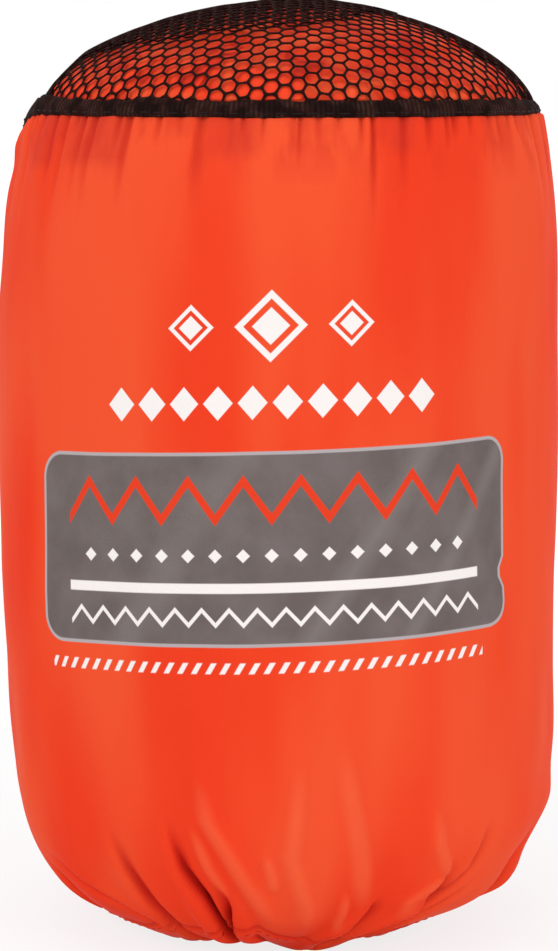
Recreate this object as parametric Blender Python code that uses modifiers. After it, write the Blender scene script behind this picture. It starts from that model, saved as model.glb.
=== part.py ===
"""A group shelter packed in its own drawcord sack, with a net panel over the top end.

Metres, +Z up. The sack stands on its gathered hem, the printed side faces -Y, and the
origin is under the middle of the hem.
"""

import math

import bmesh
import bpy
from mathutils import Matrix, Vector

# Sack, overall
WIDTH = 0.1292
DEPTH = 0.1212
WIDEST_HEIGHT = 0.080
SEAM_HEIGHT = 0.1895
SEAM_WIDTH = 0.1190
SHOULDER_LENGTH = 0.0889
SHOULDER_POWER = 5.7
FABRIC = 0.0008

# Rounded base, which sags a little beside the hem
CORNER_WIDTH = 0.1268
CORNER_HEIGHT = 0.0346
CORNER_POWER = 2.65
BASE_SAG = 0.0020
SAG_RADIUS = 0.0354
SAG_SPREAD = 0.0068

# Folds that run up from the hem: place round the sack and half width in degrees, and depth
FOLDS = (
    (-140, 4, 0.0018),
    (-125, 4, 0.0024),
    (-110, 3, 0.0034),
    (-100, 3, 0.0024),
    (-70, 3, 0.0026),
    (-55, 3, 0.0020),
    (-45, 3, 0.0024),
    (-20, 4, 0.0018),
    (5, 4, 0.0026),
    (30, 3, 0.0022),
    (50, 4, 0.0030),
    (75, 3, 0.0020),
    (105, 4, 0.0026),
    (130, 3, 0.0032),
    (150, 4, 0.0020),
    (180, 3, 0.0028),
    (200, 4, 0.0022),
)

# Gathered hem, which is the channel of the drawcord
HEM_WIDTH = 0.058
HEM_BREADTH = 0.0125
HEM_FABRIC = 0.0006
HEM_CORNER = 0.0015
HEM_LOBES = 12
LOBE_DEPTH = 0.0010
CHANNEL_OPENING = 0.0200

# Net end and the binding round it
DOME_RISE = 0.0246
DOME_POWER = 1.8
APEX_SHIFT = 0.0035
NET_RINGS = 8
NET_STRAND = 0.0009
BINDING_HEIGHT = 0.0036
BINDING_THICKNESS = 0.0009
BINDING_LEAN = 0.0013

# Drawcord, its knot and its cord lock
CORD = 0.0028
KNOT_SIZE = (0.0072, 0.0070, 0.0082)
LOCK_PLACE = -0.0095
LOCK_RADIUS = 0.00625
LOCK_END_WALL = 0.0012
LOCK_COLLAR = 0.0033
PLUNGER_RADIUS = 0.0045
PLUNGER_WEB = 0.0018
BUTTON_REACH = 0.0050
PRESS_TRAVEL = 0.0030
SPRING_WIRE = 0.0004
SPRING_TURNS = 4

# Packed shelter
SEAT_FOLD = 0.0120
FILM_SIZE = (0.090, 0.080, 0.0045)
VENT_ROLL_RADIUS = 0.0100
VENT_ROLL_LENGTH = 0.080
STRIP_SIZE = (0.060, 0.020, 0.0024)
ROOF_SKIRT = 0.0120
ROOF_LUMPS = 0.0026
WAD_EDGE = 0.0040
CROWN_CLEARANCE = 0.0006
CROWN_RIM_CLEARANCE = 0.0016

# Clearances between pieces that touch
TOUCH = 0.0003
PACKED = 0.0006

# Right and left tails of the drawcord, from the hem to the knot
UPPER_TAIL = (
    (0.0096, 0.01505, 0.0025),
    (0.0069, 0.0154, 0.0032),
    (0.0045, 0.0143, 0.0046),
    (0.0029, 0.0120, 0.0066),
    (0.0018, 0.0090, 0.0088),
    (0.0009, 0.0058, 0.0107),
    (0.0003, 0.0024, 0.0120),
    (0.0, -0.0012, 0.0127),
    (0.0, -0.0050, 0.0129),
    (0.0, -0.0270, 0.0129),
)
LOWER_TAIL = (
    (-0.0096, 0.01505, 0.0024),
    (-0.0069, 0.0154, 0.0026),
    (-0.0045, 0.0143, 0.0033),
    (-0.0029, 0.0120, 0.0044),
    (-0.0018, 0.0090, 0.0059),
    (-0.0009, 0.0058, 0.0075),
    (-0.0003, 0.0024, 0.0088),
    (0.0, -0.0012, 0.0094),
    (0.0, -0.0050, 0.0095),
    (0.0, -0.0270, 0.0095),
)
HELD_CORD_START = math.radians(50)

# Facets
STEPS = 6 * HEM_LOBES
HELD_CORD_STEPS = 36
BUNDLE_STEPS = 32
ROUND_STEPS = 24

# Sizes that follow from the ones above
FLATTEN = DEPTH / WIDTH
HALF_WIDTH = WIDTH / 2
CORNER_RADIUS = CORNER_WIDTH / 2
FOLD_DEPTH = max(depth for _, _, depth in FOLDS)
SEAM_RADIUS = SEAM_WIDTH / 2
HEM_RADIUS = HEM_WIDTH / 2
HEM_HEIGHT = CORD + 2 * (HEM_FABRIC + TOUCH)
THROAT_RADIUS = HEM_RADIUS - HEM_BREADTH
BASE_RADIUS = HEM_RADIUS + TOUCH
BASE_HEIGHT = HEM_HEIGHT - TOUCH - FABRIC
CORNER_TOP = BASE_HEIGHT + CORNER_HEIGHT
SHOULDER_START = SEAM_HEIGHT - SHOULDER_LENGTH
BINDING_FOOT = SEAM_HEIGHT + TOUCH
NET_RADIUS = SEAM_RADIUS - BINDING_LEAN - NET_STRAND / 2 - TOUCH - PACKED / 2
NET_BASE = BINDING_FOOT + NET_STRAND
HELD_CORD_RADIUS = THROAT_RADIUS + HEM_FABRIC + TOUCH + CORD / 2
HELD_CORD_HEIGHT = HEM_HEIGHT / 2
TAIL_HEIGHT = (UPPER_TAIL[-1][2] + LOWER_TAIL[-1][2]) / 2
TAIL_PITCH = UPPER_TAIL[-1][2] - LOWER_TAIL[-1][2]
TAIL_END = UPPER_TAIL[-1][1]
CORD_HOLE_HALF = CORD / 2 + TOUCH
CORD_HOLE_HEIGHT = TAIL_PITCH + 2 * CORD_HOLE_HALF
SPRING_LENGTH = (SPRING_TURNS + 1) * SPRING_WIRE + PRESS_TRAVEL + TOUCH
PLUNGER_FOOT = -CORD_HOLE_HALF - PLUNGER_WEB
BARREL_FLOOR = PLUNGER_FOOT - SPRING_LENGTH - 2 * TOUCH
BARREL_LOW = BARREL_FLOOR - LOCK_END_WALL
BARREL_HIGH = CORD_HOLE_HALF + PRESS_TRAVEL + LOCK_COLLAR
POCKET_TOP = TAIL_HEIGHT + LOCK_RADIUS + PACKED
SEAT_1_BASE = POCKET_TOP
SEAT_2_BASE = SEAT_1_BASE + SEAT_FOLD + TOUCH
FILM_BASE = SEAT_2_BASE + SEAT_FOLD + TOUCH
WADS_BASE = FILM_BASE + FILM_SIZE[2] + TOUCH
ROOF_BASE = SEAM_HEIGHT - ROOF_SKIRT
VENT_HEIGHT = ROOF_BASE - TOUCH - VENT_ROLL_RADIUS
WADS_TOP = VENT_HEIGHT - VENT_ROLL_RADIUS - TOUCH


def clear_scene():
    for obj in list(bpy.data.objects):
        bpy.data.objects.remove(obj, do_unlink=True)
    for collection in list(bpy.data.collections):
        bpy.data.collections.remove(collection)


def new_collection(name):
    collection = bpy.data.collections.new(name)
    bpy.context.scene.collection.children.link(collection)
    return collection


clear_scene()
SHELTER = new_collection("packed_group_shelter")
CUTTERS = new_collection("cutters")


def make_material(name, colour, roughness, metallic=0.0):
    material = bpy.data.materials.new(name)
    material.use_nodes = True
    shader = material.node_tree.nodes["Principled BSDF"]
    shader.inputs["Base Color"].default_value = (*colour, 1.0)
    shader.inputs["Roughness"].default_value = roughness
    shader.inputs["Metallic"].default_value = metallic
    return material


ORANGE_NYLON = make_material("orange_nylon", (0.86, 0.06, 0.02), 0.42)
ORANGE_SHELTER = make_material("orange_shelter_fabric", (0.82, 0.08, 0.025), 0.50)
BLACK_NET = make_material("black_net", (0.022, 0.013, 0.014), 0.70)
BLACK_TAPE = make_material("black_tape", (0.020, 0.011, 0.012), 0.75)
BLACK_CORD = make_material("black_cord", (0.018, 0.018, 0.020), 0.80)
BLACK_PLASTIC = make_material("black_plastic", (0.020, 0.020, 0.022), 0.40)
SPRING_STEEL = make_material("spring_steel", (0.60, 0.60, 0.62), 0.30, 1.0)
GREY_SEAT_FABRIC = make_material("grey_seat_fabric", (0.10, 0.10, 0.11), 0.60)
CLEAR_FILM = make_material("clear_film", (0.80, 0.84, 0.86), 0.12)
REFLECTIVE_TAPE = make_material("reflective_tape", (0.62, 0.63, 0.65), 0.25)


def on_oval(angle, radius, height):
    """A point of the sack's oval section, where radius is half its width."""
    return Vector((radius * math.cos(angle), FLATTEN * radius * math.sin(angle), height))


def ring_angles(count):
    return [2 * math.pi * step / count for step in range(count)]


def corner_reach(height_share, reach):
    """How far the rounded base stands out from the hem, at a share of its height from the top."""
    return reach * max(0.0, 1 - height_share**2) ** (1 / CORNER_POWER)


def side_radius(height, inset=0.0):
    """Half the sack's width at a height, on a surface that lies inset inside it."""
    if height < CORNER_TOP:
        drop = (CORNER_TOP - height) / (CORNER_HEIGHT - inset)
        return BASE_RADIUS + corner_reach(drop, CORNER_RADIUS - BASE_RADIUS - inset)
    swell = min(1.0, (height - CORNER_TOP) / (WIDEST_HEIGHT - CORNER_TOP))
    belly = CORNER_RADIUS + (HALF_WIDTH - CORNER_RADIUS) * math.sin(swell * math.pi / 2)
    rise = max(0.0, height - SHOULDER_START) / SHOULDER_LENGTH
    drawn_in = (HALF_WIDTH - SEAM_RADIUS) * rise**SHOULDER_POWER
    return belly - inset - drawn_in


def base_sag(radius):
    """How far the base hangs beside the hem."""
    return BASE_SAG * math.exp(-(((radius - SAG_RADIUS) / SAG_SPREAD) ** 2))


def fold_depth(angle):
    """How far the cloth is folded in at an angle round the sack."""
    depth = 0.0
    for place, half_width, deepest in FOLDS:
        away = (math.degrees(angle) - place + 180) % 360 - 180
        depth = max(depth, deepest * math.exp(-((away / half_width) ** 2)))
    return depth


def lobe_wave(angle):
    """0 on the crest of a lobe of the hem and 1 between two lobes."""
    return (0.5 - 0.5 * math.cos(HEM_LOBES * angle)) ** 2


def fold_fade(corner_angle):
    """How deep a fold is along the rounded base, which turns through a quarter circle."""
    rise = min(1.0, corner_angle / math.radians(18))
    fall = max(0.0, 1 - (corner_angle / math.radians(84)) ** 2)
    return rise * fall


def finish_object(obj, material, collection=SHELTER):
    for owner in list(obj.users_collection):
        owner.objects.unlink(obj)
    collection.objects.link(obj)
    obj.data.materials.clear()
    obj.data.materials.append(material)
    return obj


def shade_round(obj, sharp_angle=40):
    obj.data.shade_smooth()
    obj.data.set_sharp_from_angle(angle=math.radians(sharp_angle))


def object_from_bmesh(name, shape, material):
    mesh = bpy.data.meshes.new(name)
    shape.to_mesh(mesh)
    shape.free()
    obj = bpy.data.objects.new(name, mesh)
    SHELTER.objects.link(obj)
    finish_object(obj, material)
    shade_round(obj)
    return obj


def loft(name, rings, material, ends="open"):
    """Faces between rings of points. The ends are open, capped, or joined to each other."""
    shape = bmesh.new()
    rows = [[shape.verts.new(point) for point in ring] for ring in rings]
    pairs = list(zip(rows, rows[1:]))
    if ends == "joined":
        pairs.append((rows[-1], rows[0]))
    for low, high in pairs:
        for i in range(len(low)):
            j = (i + 1) % len(low)
            shape.faces.new((low[i], low[j], high[j], high[i]))
    if ends == "capped":
        shape.faces.new(list(reversed(rows[0])))
        shape.faces.new(rows[-1])
    return object_from_bmesh(name, shape, material)


def thicken(obj, thickness):
    """Gives an open surface its wall, on the inner side."""
    solid = obj.modifiers.new("wall", "SOLIDIFY")
    solid.thickness = thickness
    solid.offset = -1.0
    solid.use_even_offset = True


def round_edges(obj, width, segments=2):
    bevel = obj.modifiers.new("rounded_edges", "BEVEL")
    bevel.width = width
    bevel.segments = segments
    bevel.limit_method = "ANGLE"


def block(name, size, centre, material, collection=SHELTER):
    bpy.ops.mesh.primitive_cube_add(size=1.0, location=centre)
    obj = bpy.context.active_object
    obj.name = name
    obj.data.transform(Matrix.Diagonal((*size, 1.0)))
    return finish_object(obj, material, collection)


def rod_along_x(name, radius, low_x, high_x, centre_y, centre_z, material, collection=SHELTER):
    centre = ((low_x + high_x) / 2, centre_y, centre_z)
    bpy.ops.mesh.primitive_cylinder_add(
        vertices=ROUND_STEPS, radius=radius, depth=high_x - low_x, location=centre
    )
    obj = bpy.context.active_object
    obj.name = name
    obj.data.transform(Matrix.Rotation(math.radians(90), 4, "Y"))
    finish_object(obj, material, collection)
    shade_round(obj)
    return obj


def cut(obj, cutter):
    """Takes the cutter's shape out of the object."""
    cutter.hide_render = True
    cutter.display_type = "WIRE"
    opening = obj.modifiers.new("cut_" + cutter.name, "BOOLEAN")
    opening.operation = "DIFFERENCE"
    opening.solver = "EXACT"
    opening.object = cutter


def tube(name, points, radius, material, resolution=2):
    """A round cord or wire along the points."""
    curve = bpy.data.curves.new(name, "CURVE")
    curve.dimensions = "3D"
    curve.bevel_depth = radius
    curve.bevel_resolution = resolution
    curve.use_fill_caps = True
    spline = curve.splines.new("POLY")
    spline.points.add(len(points) - 1)
    for place, point in zip(spline.points, points):
        place.co = (*point, 1.0)
    spline.use_smooth = True
    obj = bpy.data.objects.new(name, curve)
    SHELTER.objects.link(obj)
    curve.materials.append(material)
    return obj


def smooth_route(points, spacing):
    """Points at about this spacing on a Catmull-Rom curve through the route's own points."""
    knots = [Vector(point) for point in points]
    knots = [2 * knots[0] - knots[1]] + knots + [2 * knots[-1] - knots[-2]]
    route = []
    for before, start, end, after in zip(knots, knots[1:], knots[2:], knots[3:]):
        count = max(1, round((end - start).length / spacing))
        for step in range(count):
            t = step / count
            bend = 2 * before - 5 * start + 4 * end - after
            twist = 3 * start - before - 3 * end + after
            route.append(0.5 * (2 * start + (end - before) * t + bend * t**2 + twist * t**3))
    route.append(knots[-2])
    return route


def make_sack_body():
    """The nylon tube of the sack, from the hem over the rounded base to the top seam."""
    corner_angles = [math.radians(a) for a in (0, 3, 8, 16, 26, 38, 50, 62, 75, 90)]
    rings = []
    for corner in corner_angles:
        ring = []
        for angle in ring_angles(STEPS):
            depth = fold_depth(angle) * fold_fade(corner)
            lobe = LOBE_DEPTH * lobe_wave(angle) * max(0.0, math.cos(2 * corner))
            reach = corner_reach(math.cos(corner), CORNER_RADIUS - BASE_RADIUS - depth)
            radius = BASE_RADIUS - lobe + reach
            height = CORNER_TOP - (CORNER_HEIGHT - depth) * math.cos(corner)
            sag = base_sag(radius) * math.sin(min(corner * 10, math.pi / 2))
            ring.append(on_oval(angle, radius, height - sag))
        rings.append(ring)
    belly_share = (0.35, 1.0)
    heights = [CORNER_TOP + (WIDEST_HEIGHT - CORNER_TOP) * share for share in belly_share]
    shoulder_share = (0.2, 0.5, 0.68, 0.8, 0.88, 0.95, 1.0)
    heights += [SHOULDER_START + SHOULDER_LENGTH * share for share in shoulder_share]
    for height in heights:
        radius = side_radius(height)
        rings.append([on_oval(angle, radius, height) for angle in ring_angles(STEPS)])
    body = loft("sack_body", rings, ORANGE_NYLON)
    thicken(body, FABRIC)


def make_drawcord_channel():
    """The folded hem. It is open between its inner edge and its outer wall."""
    outline = (
        (HEM_RADIUS - 2 * HEM_FABRIC - TOUCH, HEM_HEIGHT),
        (THROAT_RADIUS + HEM_CORNER, HEM_HEIGHT),
        (THROAT_RADIUS, HEM_HEIGHT - HEM_CORNER),
        (THROAT_RADIUS, HEM_CORNER),
        (THROAT_RADIUS + HEM_CORNER, 0.0),
        (HEM_RADIUS - HEM_CORNER, 0.0),
        (HEM_RADIUS, HEM_CORNER),
        (HEM_RADIUS, HEM_HEIGHT - TOUCH),
    )
    middle = (THROAT_RADIUS + HEM_RADIUS) / 2
    rings = []
    for radius, height in outline:
        ring = []
        for angle in ring_angles(STEPS):
            lobe = LOBE_DEPTH * lobe_wave(angle) if radius > middle else 0.0
            ring.append(on_oval(angle, radius - lobe, height))
        rings.append(ring)
    channel = loft("drawcord_channel", rings, ORANGE_NYLON)
    thicken(channel, HEM_FABRIC)
    reach = (THROAT_RADIUS + HEM_FABRIC + 2 * TOUCH + CORD) * FLATTEN
    size = (CHANNEL_OPENING, reach, HEM_HEIGHT)
    centre = (0.0, reach / 2, HEM_HEIGHT / 2 + HEM_FABRIC + TOUCH)
    cut(channel, block("channel_opening", size, centre, ORANGE_NYLON, CUTTERS))


def net_cells(rings):
    """Six-sided cells round a middle one, as lists of corners, for cells 1 unit apart."""
    cells = []
    for q in range(-rings, rings + 1):
        for r in range(max(-rings, -q - rings), min(rings, -q + rings) + 1):
            centre = (q * math.sqrt(3) / 2, r + q / 2)
            corners = []
            for corner in range(6):
                angle = math.radians(60 * corner)
                x = centre[0] + math.cos(angle) / math.sqrt(3)
                y = centre[1] + math.sin(angle) / math.sqrt(3)
                corners.append((round(x, 5), round(y, 5)))
            cells.append(corners)
    return cells


def hexagon_reach(x, y):
    """The distance from the middle to a point, counted in rings of cells."""
    sides = (math.radians(a) for a in (0, 60, 120))
    return max(abs(x * math.cos(a) + y * math.sin(a)) for a in sides) / math.cos(math.radians(30))


def dome_point(share_x, share_y, radius, base, rise):
    """A point of the domed end, from its place on a disc of radius 1."""
    reach = min(1.0, math.hypot(share_x, share_y))
    height = (1 - reach**DOME_POWER) ** (1 / DOME_POWER)
    shift = APEX_SHIFT * (1 - reach * reach)
    return Vector((radius * share_x + shift, FLATTEN * radius * share_y, base + rise * height))


def make_mesh_end():
    """The net: strands along the sides of cells, whose outline is drawn out to a circle."""
    cells = net_cells(NET_RINGS)
    outer = NET_RINGS + 0.5
    use = {}
    for corners in cells:
        for corner in corners:
            use[corner] = use.get(corner, 0) + 1
    shape = bmesh.new()
    verts = {}
    for (x, y), times in use.items():
        flat = math.hypot(x, y)
        reach = hexagon_reach(x, y)
        rounding = min(1.0, reach / outer) ** 2
        share = 1.0 if times < 3 else flat ** (1 - rounding) * reach**rounding / outer
        scale = share / flat
        verts[x, y] = shape.verts.new(
            dome_point(x * scale, y * scale, NET_RADIUS, NET_BASE, DOME_RISE)
        )
    for corners in cells:
        shape.faces.new([verts[corner] for corner in corners])
    net = object_from_bmesh("mesh_end", shape, BLACK_NET)
    strands = net.modifiers.new("strands", "WIREFRAME")
    strands.thickness = NET_STRAND
    strands.offset = 0.0
    strands.use_boundary = True
    strands.use_even_offset = True
    strands.use_relative_offset = False


def make_mesh_binding():
    """The tape that joins the net to the top of the sack."""
    top = BINDING_FOOT + BINDING_HEIGHT
    outline = (
        (SEAM_RADIUS - BINDING_THICKNESS, BINDING_FOOT),
        (SEAM_RADIUS, BINDING_FOOT),
        (SEAM_RADIUS - BINDING_LEAN, top),
        (SEAM_RADIUS - BINDING_LEAN - BINDING_THICKNESS, top),
    )
    rings = []
    for radius, height in outline:
        rings.append([on_oval(angle, radius, height) for angle in ring_angles(STEPS)])
    loft("mesh_binding", rings, BLACK_TAPE, ends="joined")


def held_cord():
    """The drawcord inside the hem, round the throat from the right tail to the left one."""
    turn = math.pi + 2 * HELD_CORD_START
    points = []
    for step in range(HELD_CORD_STEPS + 1):
        angle = HELD_CORD_START - turn * step / HELD_CORD_STEPS
        points.append(on_oval(angle, HELD_CORD_RADIUS, HELD_CORD_HEIGHT))
    return points


def make_drawcord():
    held = held_cord()
    right = smooth_route([*reversed(UPPER_TAIL), held[0]], CORD)
    left = smooth_route([held[-1], *LOWER_TAIL], CORD)
    tube("drawcord", right + held[1:-1] + left, CORD / 2, BLACK_CORD)


def make_tail_knot():
    """The knot that ties both tails together."""
    centre = (0.0, TAIL_END - TOUCH - KNOT_SIZE[1] / 2, TAIL_HEIGHT)
    knot = block("tail_knot", KNOT_SIZE, centre, BLACK_CORD)
    round_edges(knot, min(KNOT_SIZE) * 0.3)


def lock_rod(name, radius, low_x, high_x, material=BLACK_PLASTIC, collection=SHELTER):
    return rod_along_x(
        name, radius, low_x, high_x, LOCK_PLACE, TAIL_HEIGHT, material, collection
    )


def cord_hole(name, low_x, high_x):
    """A cutter for the way of both tails, one above the other, through the cord lock."""
    size = (high_x - low_x, 4 * LOCK_RADIUS, CORD_HOLE_HEIGHT)
    centre = ((low_x + high_x) / 2, LOCK_PLACE, TAIL_HEIGHT)
    return block(name, size, centre, BLACK_PLASTIC, CUTTERS)


def make_cord_lock_barrel():
    barrel = lock_rod("cord_lock_barrel", LOCK_RADIUS, BARREL_LOW, BARREL_HIGH)
    bore_radius = PLUNGER_RADIUS + TOUCH
    bore_end = BARREL_HIGH + LOCK_END_WALL
    cut(barrel, lock_rod("lock_bore", bore_radius, BARREL_FLOOR, bore_end, collection=CUTTERS))
    cut(barrel, cord_hole("barrel_cord_hole", -CORD_HOLE_HALF, CORD_HOLE_HALF))


def make_cord_lock_plunger():
    """Its slot is longer than the barrel's hole by the press, so the tails stay clear."""
    top = BARREL_HIGH + BUTTON_REACH
    plunger = lock_rod("cord_lock_plunger", PLUNGER_RADIUS, PLUNGER_FOOT, top)
    slot_end = CORD_HOLE_HALF + PRESS_TRAVEL
    cut(plunger, cord_hole("plunger_cord_slot", -CORD_HOLE_HALF, slot_end))


def make_cord_lock_spring():
    coil_radius = PLUNGER_RADIUS - 2 * SPRING_WIRE
    first = BARREL_FLOOR + TOUCH + SPRING_WIRE / 2
    rise = SPRING_LENGTH - SPRING_WIRE
    count = 10 * SPRING_TURNS
    points = []
    for step in range(count + 1):
        angle = 2 * math.pi * SPRING_TURNS * step / count
        y = LOCK_PLACE + coil_radius * math.cos(angle)
        z = TAIL_HEIGHT + coil_radius * math.sin(angle)
        points.append((first + rise * step / count, y, z))
    tube("cord_lock_spring", points, SPRING_WIRE / 2, SPRING_STEEL, resolution=1)


def packed_radius(height):
    """Half the width that the packed shelter fills at a height."""
    up = min(1.0, max(0.0, (height - BASE_HEIGHT) / CORNER_HEIGHT))
    fold = FOLD_DEPTH * fold_fade(math.acos(1 - up))
    return side_radius(height, FABRIC + fold + PACKED)


def layer_profile(base, top, rows):
    """Radius and height up the side of a packed layer, with its edges taken off."""
    edge = min(WAD_EDGE, (top - base) / 3)
    low, high = base + edge, top - edge
    heights = [low + (high - low) * row / rows for row in range(rows + 1)]
    side = [(packed_radius(height), height) for height in heights]
    return [(side[0][0] - edge, base), *side, (side[-1][0] - edge, top)]


def make_seat_panel(name, base):
    """A seat panel folded flat, filling the sack's width."""
    rings = []
    for radius, height in layer_profile(base, base + SEAT_FOLD, 2):
        rings.append([on_oval(angle, radius, height) for angle in ring_angles(BUNDLE_STEPS)])
    loft(name, rings, GREY_SEAT_FABRIC, ends="capped")


def make_window_film():
    centre = (0.0, 0.0, FILM_BASE + FILM_SIZE[2] / 2)
    film = block("window_film", FILM_SIZE, centre, CLEAR_FILM)
    round_edges(film, FILM_SIZE[2] * 0.3)


def make_shelter_wall(name, side):
    """Half of the shelter's wall, stuffed into the front or the back of the sack."""
    half_steps = BUNDLE_STEPS // 2
    rings = []
    for radius, height in layer_profile(WADS_BASE, WADS_TOP, 6):
        ring = []
        for step in range(half_steps + 1):
            point = on_oval(math.pi * step / half_steps, radius, height)
            y = max(point.y, 0.0) + TOUCH / 2
            ring.append((side * point.x, side * y, height))
        rings.append(ring)
    loft(name, rings, ORANGE_SHELTER, ends="capped")


def make_vent_tubes():
    """The two vent tubes, rolled up side by side under the roof."""
    reach = VENT_ROLL_LENGTH / 2
    offset = VENT_ROLL_RADIUS + TOUCH / 2
    for number, side in ((1, -1), (2, 1)):
        name = f"vent_tube_{number}"
        y = side * offset
        rod_along_x(name, VENT_ROLL_RADIUS, -reach, reach, y, VENT_HEIGHT, ORANGE_SHELTER)


def make_reflective_strips():
    """The two reflective strips, folded flat beside the vent tubes."""
    offset = 2 * VENT_ROLL_RADIUS + 2 * TOUCH + STRIP_SIZE[1] / 2
    height = WADS_TOP + TOUCH + STRIP_SIZE[2] / 2
    for number, side in ((1, -1), (2, 1)):
        centre = (0.0, side * offset, height)
        strip = block(f"reflective_strip_{number}", STRIP_SIZE, centre, REFLECTIVE_TAPE)
        round_edges(strip, STRIP_SIZE[2] * 0.3)


def roof_lump(x, y):
    """0 to 1, how far the crumpled fabric lies back from the net."""
    return 0.5 + 0.5 * math.sin(7.3 * x + 1.7 * y + 0.6) * math.cos(6.1 * y - 2.3 * x)


def make_shelter_roof():
    """The crumpled roof of the shelter, which shows through the net."""
    edge = ROOF_SKIRT / 3
    low = side_radius(ROOF_BASE + edge, FABRIC + PACKED)
    neck = (SEAM_RADIUS - FABRIC - PACKED - TOUCH, SEAM_HEIGHT - FABRIC)
    rings = []
    for radius, height in ((low - edge, ROOF_BASE), (low, ROOF_BASE + edge), neck):
        rings.append([on_oval(angle, radius, height) for angle in ring_angles(BUNDLE_STEPS)])
    crown_radius = NET_RADIUS - NET_STRAND / 2 - CROWN_RIM_CLEARANCE
    crown_rise = DOME_RISE - NET_STRAND / 2 - CROWN_CLEARANCE
    for share in (1.0, 0.97, 0.9, 0.8, 0.68, 0.54, 0.4, 0.26, 0.13):
        ring = []
        for angle in ring_angles(BUNDLE_STEPS):
            x = share * math.cos(angle)
            y = share * math.sin(angle)
            point = dome_point(x, y, crown_radius, NET_BASE, crown_rise)
            point.z -= ROOF_LUMPS * roof_lump(x, y) * (1 - share**6)
            ring.append(point)
        rings.append(ring)
    loft("shelter_roof", rings, ORANGE_SHELTER, ends="capped")


make_sack_body()
make_drawcord_channel()
make_mesh_end()
make_mesh_binding()
make_drawcord()
make_tail_knot()
make_cord_lock_barrel()
make_cord_lock_plunger()
make_cord_lock_spring()
make_seat_panel("seat_panel_1", SEAT_1_BASE)
make_seat_panel("seat_panel_2", SEAT_2_BASE)
make_window_film()
make_shelter_wall("shelter_wall_front", -1)
make_shelter_wall("shelter_wall_back", 1)
make_vent_tubes()
make_reflective_strips()
make_shelter_roof()
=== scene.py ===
"""The looks of a group shelter packed in its own drawcord sack.

Metres, +Z up. The sack stands on its gathered hem, with its printed side towards -Y. Places on
its cloth are given by the angle round the sack, where -90 degrees is the middle of the front,
and by the distance along the cloth from the hem.
"""

import math

import bmesh
import bpy
import numpy as np
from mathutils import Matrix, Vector
from mathutils.bvhtree import BVHTree


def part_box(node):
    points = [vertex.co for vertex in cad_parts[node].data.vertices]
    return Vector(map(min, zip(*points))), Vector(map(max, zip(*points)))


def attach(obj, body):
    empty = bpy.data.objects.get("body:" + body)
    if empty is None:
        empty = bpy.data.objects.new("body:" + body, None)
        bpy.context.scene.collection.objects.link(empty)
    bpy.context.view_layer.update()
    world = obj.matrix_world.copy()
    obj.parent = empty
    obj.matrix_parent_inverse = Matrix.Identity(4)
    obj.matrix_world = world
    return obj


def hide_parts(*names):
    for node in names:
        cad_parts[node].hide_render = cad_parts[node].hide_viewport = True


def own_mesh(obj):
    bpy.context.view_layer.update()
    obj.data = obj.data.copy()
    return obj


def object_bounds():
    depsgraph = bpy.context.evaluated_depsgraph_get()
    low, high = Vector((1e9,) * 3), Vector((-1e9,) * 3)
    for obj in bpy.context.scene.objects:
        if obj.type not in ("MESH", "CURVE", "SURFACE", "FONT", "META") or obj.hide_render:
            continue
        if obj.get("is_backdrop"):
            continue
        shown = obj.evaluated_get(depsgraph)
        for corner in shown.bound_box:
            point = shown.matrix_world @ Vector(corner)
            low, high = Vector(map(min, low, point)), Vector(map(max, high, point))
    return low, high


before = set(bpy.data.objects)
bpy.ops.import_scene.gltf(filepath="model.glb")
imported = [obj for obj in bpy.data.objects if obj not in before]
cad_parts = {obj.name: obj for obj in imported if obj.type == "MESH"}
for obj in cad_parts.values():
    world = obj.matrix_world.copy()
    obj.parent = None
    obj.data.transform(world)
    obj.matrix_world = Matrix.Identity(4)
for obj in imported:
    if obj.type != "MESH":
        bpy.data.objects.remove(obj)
CAD_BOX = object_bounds()

MM = 0.001
CIRCLE = 2 * math.pi
TINY = 1e-12
FRONT, BACK = -90.0, 90.0
DOWN = Vector((0, 0, -1))

# Sizes of the solids that the frame gives
SACK_LOW, SACK_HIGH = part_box("sack_body")
HEM_LOW, HEM_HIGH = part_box("drawcord_channel")
NET_LOW, NET_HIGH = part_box("mesh_end")
BINDING_LOW, BINDING_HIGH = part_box("mesh_binding")
ROOF_LOW, ROOF_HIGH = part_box("shelter_roof")
BARREL_LOW, BARREL_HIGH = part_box("cord_lock_barrel")
PLUNGER_LOW, PLUNGER_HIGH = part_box("cord_lock_plunger")
SPRING_LOW, SPRING_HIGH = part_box("cord_lock_spring")
KNOT_LOW, KNOT_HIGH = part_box("tail_knot")

# The sack's outline, as the solids have it
HALF_WIDTH = (SACK_HIGH.x - SACK_LOW.x) / 2
FLATTEN = (SACK_HIGH.y - SACK_LOW.y) / (SACK_HIGH.x - SACK_LOW.x)
SEAM_HEIGHT = SACK_HIGH.z
SEAM_RADIUS = (BINDING_HIGH.x - BINDING_LOW.x) / 2
HEM_RADIUS = (HEM_HIGH.x - HEM_LOW.x) / 2
HEM_BREADTH = 12.5 * MM
CORNER_RADIUS = 63.4 * MM
CORNER_HEIGHT = 34.6 * MM
CORNER_POWER = 2.65
WIDEST_HEIGHT = 80.0 * MM
SHOULDER_LENGTH = 88.9 * MM
SHOULDER_POWER = 5.7
BASE_RADIUS = HEM_RADIUS + 0.3 * MM
BASE_SAG, SAG_RADIUS, SAG_SPREAD = 2.0 * MM, 35.4 * MM, 6.8 * MM
BASE_HEIGHT = 3.5 * MM
CORNER_TOP = BASE_HEIGHT + CORNER_HEIGHT
SHOULDER_START = SEAM_HEIGHT - SHOULDER_LENGTH
CLEAR_OF_FLOOR = 0.12 * MM
BASE_STEPS, SIDE_STEPS, CLOTH_STEPS = 500, 600, 1200

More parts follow.
